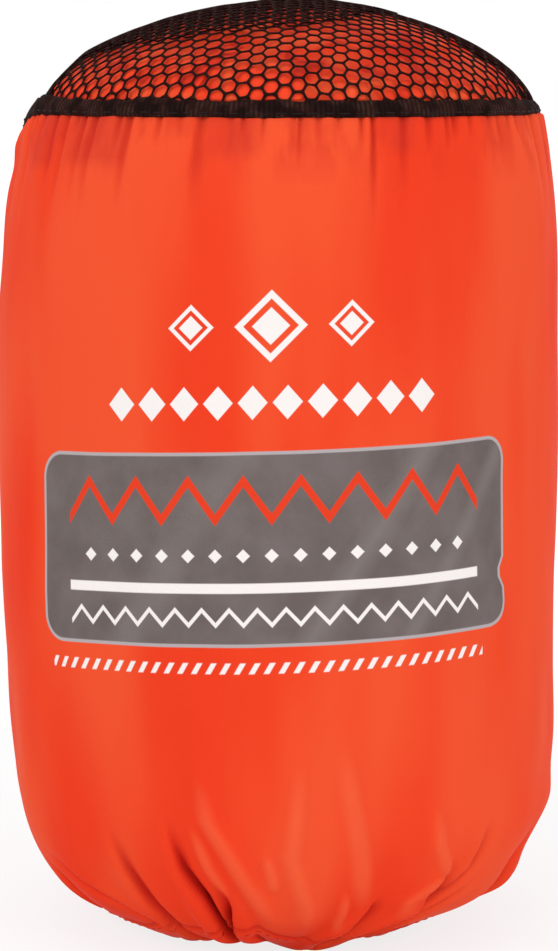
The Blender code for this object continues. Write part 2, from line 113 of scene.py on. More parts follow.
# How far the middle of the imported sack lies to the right, at heights, in mm
DRIFT_HEIGHTS = (0, 6, 14, 30, 45, 65, 85, 110, 145, 175, 190)
DRIFT = (0.0, -0.4, 0.2, 0.6, 0.4, -0.1, -0.7, -0.7, -0.2, 0.5, 1.2)

# The seam dips at the left of the front. At the right its cloth is tucked in further.
SEAM_DIP = 4.4 * MM
SEAM_DIP_ANGLE, SEAM_DIP_SPREAD = 181.0, 11.0
TUCKED_IN, TUCKED_SPREAD = 1.3 * MM, 17.0

# Soft waves: seed, how many, turns round the sack, lengths in metres, height in mm
WAVES = {
    "cloth_broad": (11, 9, (2, 7), (0.10, 0.40), 0.50),
    "cloth_fine": (12, 14, (9, 26), (0.03, 0.12), 0.13),
    "net_sag": (21, 8, (3, 9), (0.02, 0.06), 0.22),
    "net_strands": (22, 12, (6, 30), (0.008, 0.03), 0.22),
    "binding": (31, 10, (18, 70), (0.004, 0.02), 0.17),
    "binding_top": (32, 9, (9, 60), (0.1, 0.2), 0.20),
    "binding_foot": (33, 6, (6, 22), (0.1, 0.2), 0.10),
    "roof_neck": (43, 8, (5, 24), (0.02, 0.05), 0.4),
    "pleat": (50, 6, (2, 9), (0.1, 0.3), 0.12),
    "folded": (71, 5, (1, 3), (0.02, 0.06), 0.06),
    "rolled": (80, 7, (2, 6), (0.01, 0.05), 0.22),
}


def smooth_step(value, low, high):
    share = np.clip((value - low) / (high - low), 0, 1)
    return share * share * (3 - 2 * share)


def bell(value, spread):
    return np.exp(-((value / spread) ** 2))


def turn_between(angle, other):
    """Degrees from one angle to another, from -180 to 180."""
    return (angle - other + 180) % 360 - 180


def near(angle, place, spread):
    """1 at an angle round the sack, and less with the distance from it."""
    return bell(turn_between(angle, place), spread)


def change_at(angle, most, place, spread):
    return most * near(angle, place, spread)


def stacked(*values):
    """Points or other vectors, from their parts."""
    return np.stack(np.broadcast_arrays(*values), axis=-1)


def round_sack(turn, reach, height, shift=0.0):
    """Places round the sack's outline, at turns in radians and distances from its middle."""
    return stacked(reach * np.cos(turn) + shift, FLATTEN * reach * np.sin(turn), height)


def unit(vectors):
    return vectors / np.linalg.norm(vectors, axis=-1, keepdims=True)


def running_sum(steps):
    return np.concatenate([[0], np.cumsum(steps)])


def distance_along(line):
    return running_sum(np.linalg.norm(np.diff(line, axis=0), axis=1))


def at_distances(distances, along, line):
    """Places on a line of points, at distances along it."""
    return np.stack([np.interp(distances, along, line[:, axis]) for axis in range(3)], axis=-1)


def circle(count):
    return CIRCLE * np.arange(count) / count


def squared_circle(turn, power):
    """A circle pressed out towards a square, as its two directions at each turn."""
    return [np.sign(part) * np.abs(part) ** power for part in (np.cos(turn), np.sin(turn))]


def wide_waves(kind, angle, along, more=0):
    """Sums of cosines that close round the sack. more is added to their seed."""
    seed, count, turns, lengths, height = WAVES[kind]
    random = np.random.default_rng(seed + more)
    total = 0
    for _ in range(count):
        round_it = random.integers(turns[0], turns[1] + 1)
        up = CIRCLE / random.uniform(*lengths) * random.choice((-1, 1))
        total = total + np.cos(np.radians(angle) * round_it + up * along + random.uniform(0, 6.3))
    return height * MM * total / math.sqrt(count)


def drift_at(height):
    return np.interp(height / MM, DRIFT_HEIGHTS, DRIFT) * MM


def seam_dip(angle):
    return SEAM_DIP * near(angle, SEAM_DIP_ANGLE, SEAM_DIP_SPREAD)


def side_radius(height):
    """Half the sack's width at a height above the rounded base."""
    swell = np.clip((height - CORNER_TOP) / (WIDEST_HEIGHT - CORNER_TOP), 0, 1)
    belly = CORNER_RADIUS + (HALF_WIDTH - CORNER_RADIUS) * np.sin(swell * math.pi / 2)
    rise = np.clip((height - SHOULDER_START) / SHOULDER_LENGTH, 0, None)
    return belly - (HALF_WIDTH - SEAM_RADIUS) * rise**SHOULDER_POWER


def cloth_profile():
    """Radius, height, outward direction and distance along the cloth, from the hem up."""
    turns = np.radians(90 * np.linspace(0, 1, BASE_STEPS) ** 2)
    radius = BASE_RADIUS + (CORNER_RADIUS - BASE_RADIUS) * np.sin(turns) ** (2 / CORNER_POWER)
    fade = np.sin(np.minimum(turns * 10, math.pi / 2))
    sag = BASE_SAG * bell(radius - SAG_RADIUS, SAG_SPREAD) * fade
    up = np.linspace(CORNER_TOP, SEAM_HEIGHT, SIDE_STEPS)[1:]
    height = np.concatenate([CORNER_TOP - CORNER_HEIGHT * np.cos(turns) - sag, up])
    radius = np.concatenate([radius, side_radius(up)])
    along = running_sum(np.hypot(np.diff(radius), np.diff(height)))
    even = np.linspace(0, along[-1], CLOTH_STEPS)
    radius, height = np.interp(even, along, radius), np.interp(even, along, height)
    out, rise = np.gradient(radius), np.gradient(height)
    size = np.hypot(out, rise)
    return radius, height, rise / size, -out / size, even


PROFILE = cloth_profile()
CLOTH_LENGTH = PROFILE[4][-1]


def at_along(along):
    """Radius, height and outward direction of the plain cloth at distances along it."""
    return [np.interp(along, PROFILE[4], values) for values in PROFILE[:4]]


# Creases that run up from the gathered hem. Each is a path of (angle, mm along the cloth) from
# its foot to its tip, then depth and width in mm, and the side of its steep edge.
LEFT, RIGHT = -1, 1
FRONT_CREASES = (
    (((-110, 12), (-117.4, 23), (-122.3, 32), (-125.6, 40), (-128, 48), (-130, 55)),
     2.6, 3.2, LEFT),
    (((-100, 8), (-103.5, 18), (-106.4, 28), (-108.5, 36), (-111.8, 43), (-113.4, 51), (-114, 57)),
     5.0, 2.4, LEFT),
    (((-97.5, 8), (-99.6, 19), (-101, 33), (-104, 42)), 4.6, 2.3, RIGHT),
    (((-94, 10), (-96, 18), (-98.5, 26)), 1.4, 1.4, LEFT),
    (((-82, 8), (-78, 18), (-73.5, 24.6), (-69.6, 31), (-68, 36)), 5.8, 2.3, LEFT),
    (((-80, 10), (-66, 20), (-57.7, 32), (-53.8, 39), (-51, 46)), 4.5, 2.6, LEFT),
    (((-84, 8), (-72, 18), (-62.4, 27), (-51.9, 36), (-47.3, 41), (-44.8, 46), (-42, 54)),
     4.4, 2.6, LEFT),
    (((-66, 16), (-57, 26), (-44, 34), (-35, 40)), 1.2, 2.2, RIGHT),
    (((-118, 20), (-124, 26), (-140, 33), (-158, 41)), 2.2, 6.0, RIGHT),
    (((-30, 12), (-24, 30), (-18, 46)), 1.4, 4.0, RIGHT),
    (((-150, 12), (-154, 24), (-160, 38)), 1.4, 4.0, LEFT),
)
# Soft ridges between them, raised in the cloth and given a painted highlight: path, height and
# width in mm
FRONT_RIDGES = (
    (((-92, 28), (-95, 35.5), (-100, 45.6), (-105, 55), (-107, 66)), 1.0, 3.2),
    (((-91.5, 38), (-92.2, 42.6), (-93.5, 48)), 0.6, 2.0),
    (((-84, 26), (-84.6, 33.6), (-88.3, 46.6), (-87.1, 57.7), (-86, 70)), 1.0, 3.0),
    (((-72, 32), (-73.7, 43.6), (-76.4, 60), (-78, 74)), 0.8, 3.6),
    (((-62, 28), (-60.7, 33.8), (-53.3, 40), (-56.7, 47.7), (-58, 58)), 0.9, 2.6),
    (((-101, 36), (-105, 44), (-108.5, 54)), 0.8, 2.2),
    (((-76.5, 24), (-76, 31), (-76, 38)), 0.7, 1.8),
)
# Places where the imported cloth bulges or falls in: angle, mm along, mm out, and their spreads
POUCHES = (
    (0, 38, -0.3, 34, 3.4), (-4, 29, 1.7, 30, 4.6), (0, 48, 1.1, 30, 5.0), (0, 64, 0.7, 18, 12),
    (180, 66, 0.6, 20, 16), (180, 205, 1.7, 20, 4.2), (180, 176, -0.6, 20, 14),
    (-80, 8, 1.4, 9, 4.6), (-106, 9, -1.7, 11, 6), (-96, 8, -0.9, 5, 5), (-64, 9, -0.9, 6, 5),
    (-45, 14, -1.2, 16, 8), (-122, 190, -0.5, 9, 12), (-62, 120, 0.5, 7, 26),
    (-43, 84, -0.6, 3.0, 9), (-40, 98, 0.5, 3.0, 10),
)
# The line where the hem is folded up and sewn: angle and mm along the cloth
HEM_LINE = (
    (-180, 16.5), (-150, 17), (-130, 19), (-124, 22), (-117.5, 24.4), (-110, 24.6), (-105, 25.6),
    (-100, 26.5), (-95, 25.8), (-91, 21), (-86, 17.8), (-80, 17.4), (-74.7, 18.1), (-66, 17.5),
    (-50, 16.5), (-20, 17), (30, 19), (60, 17.5), (90, 19), (120, 20), (150, 17), (180, 16.5),
)
# How far the cloth steps out over the folded hem and the back seam, and the groove of the stitches
HEM_STEP, HEM_GROOVE = 0.35 * MM, 0.55 * MM
SEAM_STEP, SEAM_HALF, SEAM_EDGE = 0.30 * MM, 4.2 * MM / 2, 0.4 * MM
# How dark the painted shade along the line of stitches and in a pucker is, against a crease of
# their depth
LINE_SHADE, PUCKER_SHADE = 1.5 * MM, 1.3
# A crease's width at its foot and what its tip adds, and the width of its steep side
CREASE_FOOT, CREASE_TIP, CREASE_STEEP = 0.50, 0.80, 0.26
# Its lip and how far that hangs over: size as a share of the depth, then place and width
LIP, LIP_PLACE, LIP_WIDTH = 0.32, 0.85, 0.7
HANG, HANG_PLACE, HANG_WIDTH = 0.40, 0.40, 0.45

# Creases scattered round the rest of the sack: ranges of reach, sideways drift, depth and width
GATHERS, LONG_GATHERS = 52, 0.45
LONG_GATHER = ((34, 58), (-9, 9), (2.2, 4.8), (2.4, 4.4))
SHORT_GATHER = ((12, 19), (-2, 2), (0.4, 1.0), (1.2, 2.0))
FRONT_REACH = 102.0
LOBE, LOBE_REACH = -85, 21
# Creases that hang from the top seam: ranges of length, depth and width
PUCKERS, LONG_PUCKERS = 92, 0.3
LONG_PUCKER = ((16, 34), (0.70, 1.30), (0.7, 1.5))
SHORT_PUCKER = ((6, 13), (0.50, 1.10), (0.7, 1.5))


def scattered(random, count, slack):
    """Places nearly even round the sack, drawn one by one."""
    for number in range(count):
        yield 360 * (number + random.uniform(-slack, slack)) / count


def drawn(random, ranges):
    return [random.uniform(*ends) for ends in ranges]


def other_creases(random):
    """Creases of the same kind round the rest of the sack, and short gathers at the front."""
    creases = []
    for foot in scattered(random, GATHERS, 0.3):
        long = random.random() < LONG_GATHERS and abs(turn_between(foot, FRONT)) >= FRONT_REACH
        reach, drift, depth, width = drawn(random, LONG_GATHER if long else SHORT_GATHER)
        path = ((foot, 0), (foot + drift * 0.3, reach * 0.5), (foot + drift, reach))
        if abs(turn_between(foot, LOBE)) >= LOBE_REACH:
            creases.append((path, depth, width, random.choice((LEFT, RIGHT))))
    return creases


def seam_puckers(random):
    """Small creases that hang from the top seam: angle, then length, depth and width in mm."""
    puckers = []
    for angle in scattered(random, PUCKERS, 0.45):
        long = random.random() < LONG_PUCKERS
        puckers.append((angle, *drawn(random, LONG_PUCKER if long else SHORT_PUCKER)))
    return puckers


CREASES = [*FRONT_CREASES, *other_creases(np.random.default_rng(4))]
SEAM_PUCKERS = seam_puckers(np.random.default_rng(7))


def off_path(path, angle, along, radius):
    """Distance sideways from a path on the cloth, and the share of the path's length."""
    angles, stops = np.array(path, float).T
    stops = stops * MM
    side = np.radians(turn_between(angle, np.interp(along, stops, angles))) * radius
    return side, (along - stops[0]) / (stops[-1] - stops[0])


def crease_at(crease, angle, along, radius):
    """A crease's depth, the lip beside it, and how far the lip hangs over it sideways."""
    path, depth, width, steep = crease
    side, share = off_path(path, angle, along, radius)
    side = side * -steep
    wide = width * MM * (CREASE_FOOT + CREASE_TIP * np.clip(share, 0, 1))
    strength = smooth_step(share, 1.04, 0.50) * smooth_step(share, -0.12, 0.2)
    strength = strength * (0.72 + 0.28 * bell(share - 0.5, 0.3))
    deep = depth * MM * strength
    valley = deep * np.where(side < 0, bell(side, wide * CREASE_STEEP), bell(side, wide))
    lip = LIP * deep * bell(side + wide * LIP_PLACE, wide * LIP_WIDTH)
    hang = HANG * deep * bell(side + wide * HANG_PLACE, wide * HANG_WIDTH) * -steep
    return valley, lip, hang


def hem_line(angle):
    """Distance along the cloth to the line where the hem is sewn."""
    places, lines = np.array(HEM_LINE, float).T
    return np.interp(turn_between(angle, 0), places, lines) * MM


def cloth_folds(angle, along):
    """How far the cloth stands out from its plain outline, how far it is pushed sideways, and
    how dark the painted shade of a crease, a pucker or the hem's stitch line is there, as a depth
    in metres, and how near it is to the top of a soft ridge, which gets a painted highlight."""
    radius = at_along(along)[0]
    below = CLOTH_LENGTH - along
    valley, lips, hang, shine, pucker = 0.0, 0.0, 0.0, 0.0, 0.0
    for crease in CREASES:
        depth, lip, over = crease_at(crease, angle, along, radius)
        valley = np.maximum(valley, depth)
        lips = np.maximum(lips, lip)
        hang = hang + over
    for path, height, width in FRONT_RIDGES:
        side, share = off_path(path, angle, along, radius)
        ends = smooth_step(share, -0.15, 0.25) * smooth_step(share, 1.15, 0.6)
        ridge = ends * bell(side, 0.75 * width * MM)
        lips = np.maximum(lips, 1.5 * height * MM * ridge)
        shine = np.maximum(shine, ridge * MM)
    lips = lips * smooth_step(along, 5 * MM, 24 * MM)
    for place, middle, out, spread, reach in POUCHES:
        inside = near(angle, place, spread) * bell(along - middle * MM, reach * MM)
        lips = lips + out * MM * inside
    for middle, length, depth, width in SEAM_PUCKERS:
        side = np.radians(turn_between(angle, middle)) * radius
        fade = smooth_step(below, length * MM, 0)
        wide = width * MM * (0.7 + 0.8 * np.clip(below / (length * MM), 0, 1))
        pucker = np.maximum(pucker, depth * MM * fade * bell(side, wide))
    waves = wide_waves("cloth_broad", angle, along) + wide_waves("cloth_fine", angle, along)
    held = smooth_step(below, 0, 12 * MM) * smooth_step(along, 0, 10 * MM)
    from_line = along - hem_line(angle)
    hem = HEM_STEP * smooth_step(from_line, 0.9 * MM, -1.2 * MM) * smooth_step(along, 0, 6 * MM)
    groove = HEM_GROOVE * bell(from_line, HEM_GROOVE)
    line_shade = LINE_SHADE * bell(from_line, 0.9 * MM)
    off_seam = np.radians(np.abs(turn_between(angle, BACK))) * radius
    seam = SEAM_STEP * smooth_step(off_seam, SEAM_HALF + SEAM_EDGE, SEAM_HALF - SEAM_EDGE)
    out = waves * held + lips + hem + seam - groove
    shade = np.maximum(valley + PUCKER_SHADE * pucker, line_shade)
    return out - valley - pucker, hang, shade, shine


def cloth_points(angle, along):
    """Places on the sack's cloth, with its folds."""
    radius, height, out, up = at_along(along)
    relief, hang, _, _ = cloth_folds(angle, along)
    relief = relief * smooth_step(along, -1 * MM, 5 * MM)
    turn = np.radians(angle) + hang / radius
    outward = unit(np.stack([np.cos(turn), np.sin(turn) / FLATTEN], axis=-1))
    dip = seam_dip(angle) * smooth_step(CLOTH_LENGTH - along, 30 * MM, 0)
    x = radius * np.cos(turn) + relief * out * outward[..., 0] + drift_at(height)
    y = FLATTEN * radius * np.sin(turn) + relief * out * outward[..., 1]
    return stacked(x, y, np.maximum(height + relief * up - dip, CLEAR_OF_FLOOR))


def join_grid(name, points, ring=True, loop=False):
    """A mesh of four-sided faces over rows of points. ring joins each row's ends, loop the
    last row to the first."""
    rows, columns = points.shape[:2]
    index = np.arange(rows * columns).reshape(rows, columns)
    if ring:
        index = np.concatenate([index, index[:, :1]], axis=1)
    if loop:
        index = np.concatenate([index, index[:1]], axis=0)
    corners = (index[:-1, :-1], index[:-1, 1:], index[1:, 1:], index[1:, :-1])
    faces = np.stack(corners, axis=-1).reshape(-1, 4)
    return object_of(name, points.reshape(-1, 3), faces.tolist())


def add_object(name, data):
    obj = bpy.data.objects.new(name, data)
    bpy.context.scene.collection.objects.link(obj)
    return obj


def object_of(name, points, faces):
    mesh = bpy.data.meshes.new(name)
    mesh.from_pydata(np.asarray(points).tolist(), [], faces)
    mesh.update()
    mesh.shade_smooth()
    return add_object(name, mesh)


def edited(obj, change):
    """Lets a function change the piece's mesh."""
    shape = bmesh.new()
    shape.from_mesh(obj.data)
    change(shape)
    shape.to_mesh(obj.data)
    shape.free()


def close_ends(obj, columns):
    """Closes the first and the last ring of a grid with a face each."""
    def close(shape):
        points = list(shape.verts)
        shape.faces.new(points[:columns][::-1])
        shape.faces.new(points[-columns:])
    edited(obj, close)
    obj.data.shade_smooth()


def place_piece(obj, material, slot, node=None, body="sack"):
    """Gives a piece its material, hides the imported part of the node that it stands for, and hangs
    it on the body that it rides on.
    """
    obj.data.materials.clear()
    obj.data.materials.append(material)
    if node:
        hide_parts(node)
    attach(obj, body)


def assign(thing, **values):
    for name, value in values.items():
        setattr(thing, name, value)


def modify(obj, kind, **values):
    modifier = obj.modifiers.new(kind.lower(), kind)
    assign(modifier, **values)
    return modifier


def apply_modifiers(obj):
    """Turns what the modifiers make into the piece's own mesh."""
    bpy.context.view_layer.update()
    graph = bpy.context.evaluated_depsgraph_get()
    mesh = bpy.data.meshes.new_from_object(obj.evaluated_get(graph), depsgraph=graph)
    obj.modifiers.clear()
    obj.data = mesh
    mesh.shade_smooth()


def subdivide(obj):
    modify(obj, "SUBSURF", levels=1, render_levels=1)
    apply_modifiers(obj)


def mesh_values(obj, name):
    values = np.zeros(len(obj.data.vertices) * 3, np.float32)
    obj.data.vertices.foreach_get(name, values)
    return values.reshape(-1, 3).astype(float)


def mesh_points(obj):
    return mesh_values(obj, "co")


def move_points(obj, points):
    obj.data.vertices.foreach_set("co", points.astype(np.float32).ravel())
    obj.data.update()


def keep_places(obj, name, *values):
    """Three numbers in mm at each point, for the material, such as its place on the flat cloth."""
    layer = obj.data.attributes.new(name, "FLOAT_VECTOR", "POINT")
    layer.data.foreach_set("vector", (stacked(*values) / MM).astype(np.float32).ravel())


def add_node(tree, kind, inputs=(), **values):
    """A shader node with these settings, and its inputs linked or set."""
    node = tree.nodes.new("ShaderNode" + kind)
    assign(node, **values)
    for name, value in dict(inputs).items():
        feed(tree, node.inputs[name], value)
    return node


def feed(tree, socket, value):
    value = value.socket if isinstance(value, Field) else value
    if isinstance(value, bpy.types.NodeSocket):
        tree.links.new(value, socket)
    else:
        socket.default_value = value


class Field:
    """A number that varies over a surface. Its sums and products are math nodes."""

    def __init__(self, tree, socket):
        self.tree = tree
        self.socket = socket

    def math(self, operation, *others, clamp=False):
        values = enumerate((self, *others))
        node = add_node(self.tree, "Math", values, operation=operation, use_clamp=clamp)
        return Field(self.tree, node.outputs[0])

    def __add__(self, other):
        return self.math("ADD", other)

    def __sub__(self, other):
        return self.math("SUBTRACT", other)

    def __mul__(self, other):
        return self.math("MULTIPLY", other)

    def __truediv__(self, other):
        return self.math("DIVIDE", other)

    def size(self):
        return self.math("ABSOLUTE")

    def either(self, other):
        return self.math("MAXIMUM", other)

    def less(self, limit, soft):
        """1 where this is under the limit and 0 where it is over it, with a soft edge."""
        return ((self * -1 + limit) / soft + 0.5).math("ADD", 0, clamp=True)

    def within(self, low, high, soft):
        return self.less(high, soft) * (self * -1).less(-low, soft)

    def over(self, low, soft):
        """1 where noise is over a level, with a soft edge."""
        return self.within(low, 2, soft)

    def repeat(self, pitch):
        """The distance from the nearest of a row of places that are a pitch apart."""
        return self.math("PINGPONG", pitch / 2)


class Material:
    """A Principled material under construction."""

    def __init__(self, name, colour, roughness):
        self.made = bpy.data.materials.new(name)
        self.made.use_nodes = True
        self.tree = self.made.node_tree
        self.shader = self.tree.nodes["Principled BSDF"]
        self.colour = (*colour, 1.0)
        self.place = add_node(self.tree, "TexCoord").outputs["Object"]
        self.set("Roughness", roughness)

    def set(self, name, value):
        feed(self.tree, self.shader.inputs[name], value)

    def attribute(self, name):
        return self.parts(add_node(self.tree, "Attribute", attribute_name=name).outputs["Vector"])

    def parts(self, vector):
        node = add_node(self.tree, "SeparateXYZ", {0: vector})
        return [Field(self.tree, output) for output in node.outputs]

    def stretched(self, sizes):
        return add_node(self.tree, "Mapping", {"Vector": self.place, "Scale": sizes}).outputs[0]

    def noise(self, size, detail, place=None):
        """Noise whose lumps are about this size in mm."""
        inputs = {"Vector": place or self.place, "Scale": 1 / (size * MM), "Detail": detail}
        return Field(self.tree, add_node(self.tree, "TexNoise", inputs).outputs[0])

    def paint(self, colour, mask):
        """Lays a colour over what is there, as much as the mask says."""
        inputs = {0: mask, 6: self.colour, 7: (*colour, 1.0)}
        self.colour = add_node(self.tree, "Mix", inputs, data_type="RGBA").outputs[2]

    def patches(self, colour, size, detail, low, soft, share):
        self.paint(colour, self.noise(size, detail).over(low, soft) * share)

    def bump(self, height, depth, strength):
        """Adds fine relief, its depth in mm, on top of any that is there."""
        inputs = {"Strength": strength, "Distance": depth * MM, "Height": height}
        before = self.shader.inputs["Normal"].links
        if before:
            inputs["Normal"] = before[0].from_socket
        self.set("Normal", add_node(self.tree, "Bump", inputs).outputs[0])

    def grain(self, size, detail, depth, strength):
        self.bump(self.noise(size, detail), depth, strength)

    def ribs(self, across, pitch):
        """A wave across the cloth, from -1 to 1, whose ribs are a pitch in mm apart."""
        return (across * (math.pi / pitch)).math("SINE")

    def weave(self, across, up, pitch, depth):
        """Fine plain weave, in mm along the cloth both ways."""
        self.bump(self.ribs(across, pitch) * self.ribs(up, pitch) * 0.5 + 0.5, depth, 0.5)

    def weave_all_over(self, pitch, depth):
        """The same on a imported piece, by its place instead of its flat cloth."""
        across, up, deep = self.parts(self.place)
        self.weave(across / MM, up / MM + deep / MM, pitch, depth)

    def finish(self, specular=None):
        if specular is not None:
            self.set("Specular IOR Level", specular)
        self.set("Base Color", self.colour)
        return self.made


# Print on the front. Its places are mm from the middle of the front, along the cloth and up.
PRINT_TILT, PRINT_SAG = 0.033, 0.9 / 55**2
PANEL_MIDDLE, PANEL_SIZE = (-1.15, 97.7), (116.1, 42.7)
PANEL_CORNER, PANEL_BORDER = 6.0, 0.75
ROW_ENDS = (PANEL_MIDDLE[0] - 49.0, PANEL_MIDDLE[0] + 49.0)
PITCH = (ROW_ENDS[1] - ROW_ENDS[0]) / 16
# Zigzags: height, pitch, rise and stroke
TOP_ZIGZAG = (108.5, 2 * PITCH, 8.5, 2.6)
LOW_ZIGZAG = (82.9, PITCH, 3.4, 1.2)
# Rows of diamonds: their ends, height, pitch, and each one's width and height
PANEL_ROW = ((ROW_ENDS[0] + PITCH / 2, ROW_ENDS[1] - PITCH / 2), 96.4, PITCH, (3.0, 3.0))
WIDE_ROW = ((-39.0, 35.5), 129.6, 7.45, (6.4, 7.4))
# The large diamonds over the panel: places and sizes
LARGE_HEIGHT, LARGE_DIAMONDS = 146.0, ((-19.0, 10.0), (-1.8, 15.5), (15.4, 10.0))
BAR = (88.2, 90.4)
STROKE_ENDS, STROKE_HEIGHTS, STROKE_PITCH, STROKE_HALF = (-57, 49), (70.5, 72.9), 3.2, 0.62
# Streaks of painted sheen over the panel: from, to, and how soft
PANEL_SHEEN_STREAKS = ((17, 22, 5), (41, 44, 4), (-25, -20, 9))
INK_WHITE, INK_ORANGE = (0.93, 0.88, 0.86), (0.80, 0.055, 0.020)
INK_GREY, INK_PALE = (0.152, 0.123, 0.117), (0.46, 0.42, 0.43)
INK_WORN, PAINTED_SHEEN_GREY = (0.21, 0.175, 0.172), (0.26, 0.225, 0.215)
INK_EDGE = 0.25


def rounded_box(across, up, middle, size, corner):
    """Distance from the edge of a rectangle with round corners, under 0 inside it."""
    wide, high = [(part - middle[axis]).size() - (size[axis] / 2 - corner)
                  for axis, part in enumerate((across, up))]
    outside_wide, outside_high = wide.math("MAXIMUM", 0), high.math("MAXIMUM", 0)
    squares = outside_wide * outside_wide + outside_high * outside_high
    return squares.math("SQRT") + wide.either(high).math("MINIMUM", 0) - corner


def row_of_diamonds(across, up, ends, height, pitch, size):
    """Whole diamonds in a row between two ends, as wide and high as size says."""
    lean = (across - (ends[0] + pitch / 2)).repeat(pitch) * (size[1] / size[0])
    tall = (up - height).size()
    return (lean + tall).less(size[1] / 2, INK_EDGE) * across.within(*ends, INK_EDGE)


def zigzag(across, up, height, pitch, rise, stroke):
    """A line that goes up and down between two heights."""
    wave = (across - ROW_ENDS[0]).repeat(pitch) * (2 * rise / pitch) + (height - rise / 2)
    return (up - wave).size().less(stroke / 2, INK_EDGE) * across.within(*ROW_ENDS, INK_EDGE)


def nested_diamond(across, up, place, size):
    """A square on its corner, with a thinner one round it."""
    reach = (across - place).size() + (up - LARGE_HEIGHT).size()
    ring = reach.within(size * 0.38, size * 0.50, INK_EDGE)
    return reach.less(size * 0.26, INK_EDGE).either(ring)


def print_front(material, across, up):
    """A plain grey panel with a light border, and rows of plain figures in and round it."""
    up = up - across * PRINT_TILT + across * across * PRINT_SAG
    front = material.parts(material.place)[1].less(-12 * MM, 2 * MM)
    dented = across + up.within(86.0, 90.5, 2.6) * across.within(48, 70, 5) * 1.5
    edge = rounded_box(dented, up, PANEL_MIDDLE, PANEL_SIZE, PANEL_CORNER)
    worn = material.noise(0.9, 2).over(0.24, 0.08) * 0.06 + 0.94
    material.paint(INK_PALE, edge.less(0, INK_EDGE) * front)
    grey = edge.less(-PANEL_BORDER, INK_EDGE) * front
    material.paint(INK_GREY, grey)
    material.paint(INK_WORN, grey * material.noise(9, 4).over(0.5, 0.3) * 0.6)
    # Painted sheen in slanted streaks over the grey panel
    slanted = across - (up - 97) * 0.64
    for sheen_streak in PANEL_SHEEN_STREAKS:
        material.paint(PAINTED_SHEEN_GREY, grey * slanted.within(*sheen_streak) * 0.55)
    material.paint(INK_ORANGE, zigzag(across, up, *TOP_ZIGZAG) * front * worn)
    white = up.within(*BAR, INK_EDGE) * across.within(*ROW_ENDS, INK_EDGE)
    white = white.either(zigzag(across, up, *LOW_ZIGZAG))
    for row in (PANEL_ROW, WIDE_ROW):
        white = white.either(row_of_diamonds(across, up, *row))
    for diamond in LARGE_DIAMONDS:
        white = white.either(nested_diamond(across, up, *diamond))
    leaning = (across - (up - 71.7) * 0.6 + 56.4).repeat(STROKE_PITCH)
    strokes = leaning.less(STROKE_HALF, INK_EDGE) * up.within(*STROKE_HEIGHTS, INK_EDGE)
    white = white.either(strokes * across.within(*STROKE_ENDS, INK_EDGE))
    material.paint(INK_WHITE, white * front * worn)
    return edge.less(0, INK_EDGE).either(white) * front


# Painted shade of shallow dents under the top seam: from, to, and how far down, in mm
SEAM_SHADES = ((-57, -38, 10), (-73, -62, 11), (-14, -6, 8), (24, 30, 7))


def make_sack_material():
    material = Material("sack_nylon", (0.87, 0.058, 0.0185), 0.56)
    across, up, along = material.attribute("cloth")
    fold, shine, _ = material.attribute("fold")
    tall = material.stretched((1, 1, 0.26))
    broad = material.noise(30, 2, tall)
    # Painted shade: the left side of the sack is painted darker and redder.
    material.paint((0.86, 0.047, 0.0145), across.less(-46, 26) * 0.7)
    # Broad vertical streaks, partly random tone and partly painted light: the lighter ones are
    # painted sheen, the darker ones painted shade.
    material.paint((0.89, 0.098, 0.033), broad.over(0.52, 0.2) * 0.8)
    material.paint((0.85, 0.044, 0.014), (broad * -1).within(-0.43, 0, 0.2) * 0.55)
    below = along * -1 + CLOTH_LENGTH / MM
    streaks = material.noise(5, 2, tall).over(0.52, 0.14)
    material.paint((0.66, 0.034, 0.018), below.less(10, 9) * streaks * 0.45)
    # Painted shade in the shallow dents under the top seam
    for low, high, deep in SEAM_SHADES:
        dent_shade = across.within(low, high, 3.5) * below.less(deep, 3) * 0.5
        material.paint((0.62, 0.040, 0.022), dent_shade)
    # Painted highlight along the tops of the soft ridges
    material.paint((0.91, 0.135, 0.052), shine.within(0.55, 9, 0.6) * 0.5)
    # Painted shade in the creases, in the puckers under the seam and along the hem's stitch line
    material.paint((0.50, 0.010, 0.012), fold.within(1.2, 99, 1.8) * 0.66)
    printed = print_front(material, across, up)
    material.weave(across, along, 0.36, 0.03)
    material.grain(2.6, 3, 0.10, 0.35)
    material.set("Roughness", printed * 0.06 + (broad * 0.10 + 0.48))
    return material.finish(0.02)


def make_shelter_material():
    material = Material("shelter_nylon", (0.97, 0.062, 0.020), 0.50)
    patches = material.noise(8, 2)
    # Painted highlights and painted shade of the crumpled cloth, in random patches of lighter
    # orange and dark red
    material.paint((0.98, 0.115, 0.038), patches.over(0.56, 0.12) * 0.7)
    material.paint((0.56, 0.012, 0.010), (patches * -1).within(-0.41, 0, 0.07) * 0.55)
    material.grain(1.1, 4, 0.25, 0.5)
    material.weave_all_over(0.36, 0.02)
    return material.finish(0.05)


def make_binding_material():
    material = Material("binding_tape", (0.021, 0.0070, 0.0056), 0.84)
    across = material.attribute("cloth")[0]
    ribs = material.ribs(across, 0.55) * 0.5 + 0.5
    material.paint((0.056, 0.027, 0.022), ribs * material.noise(2.4, 3).over(0.50, 0.25) * 0.8)
    material.patches((0.006, 0.003, 0.003), 4.5, 2, 0.52, 0.1, 0.7)
    material.bump(ribs, 0.10, 0.5)
    material.grain(0.5, 3, 0.08, 0.6)
    return material.finish(0.03)


def make_plastic_material():
    material = Material("lock_plastic", (0.018, 0.018, 0.020), 0.36)
    worn = material.noise(0.9, 4, material.stretched((3, 1, 1))).over(0.58, 0.1)
    material.paint((0.050, 0.050, 0.054), worn * 0.5)
    material.set("Roughness", worn * 0.2 + 0.34)
    material.grain(0.12, 2, 0.02, 0.5)
    return material.finish()


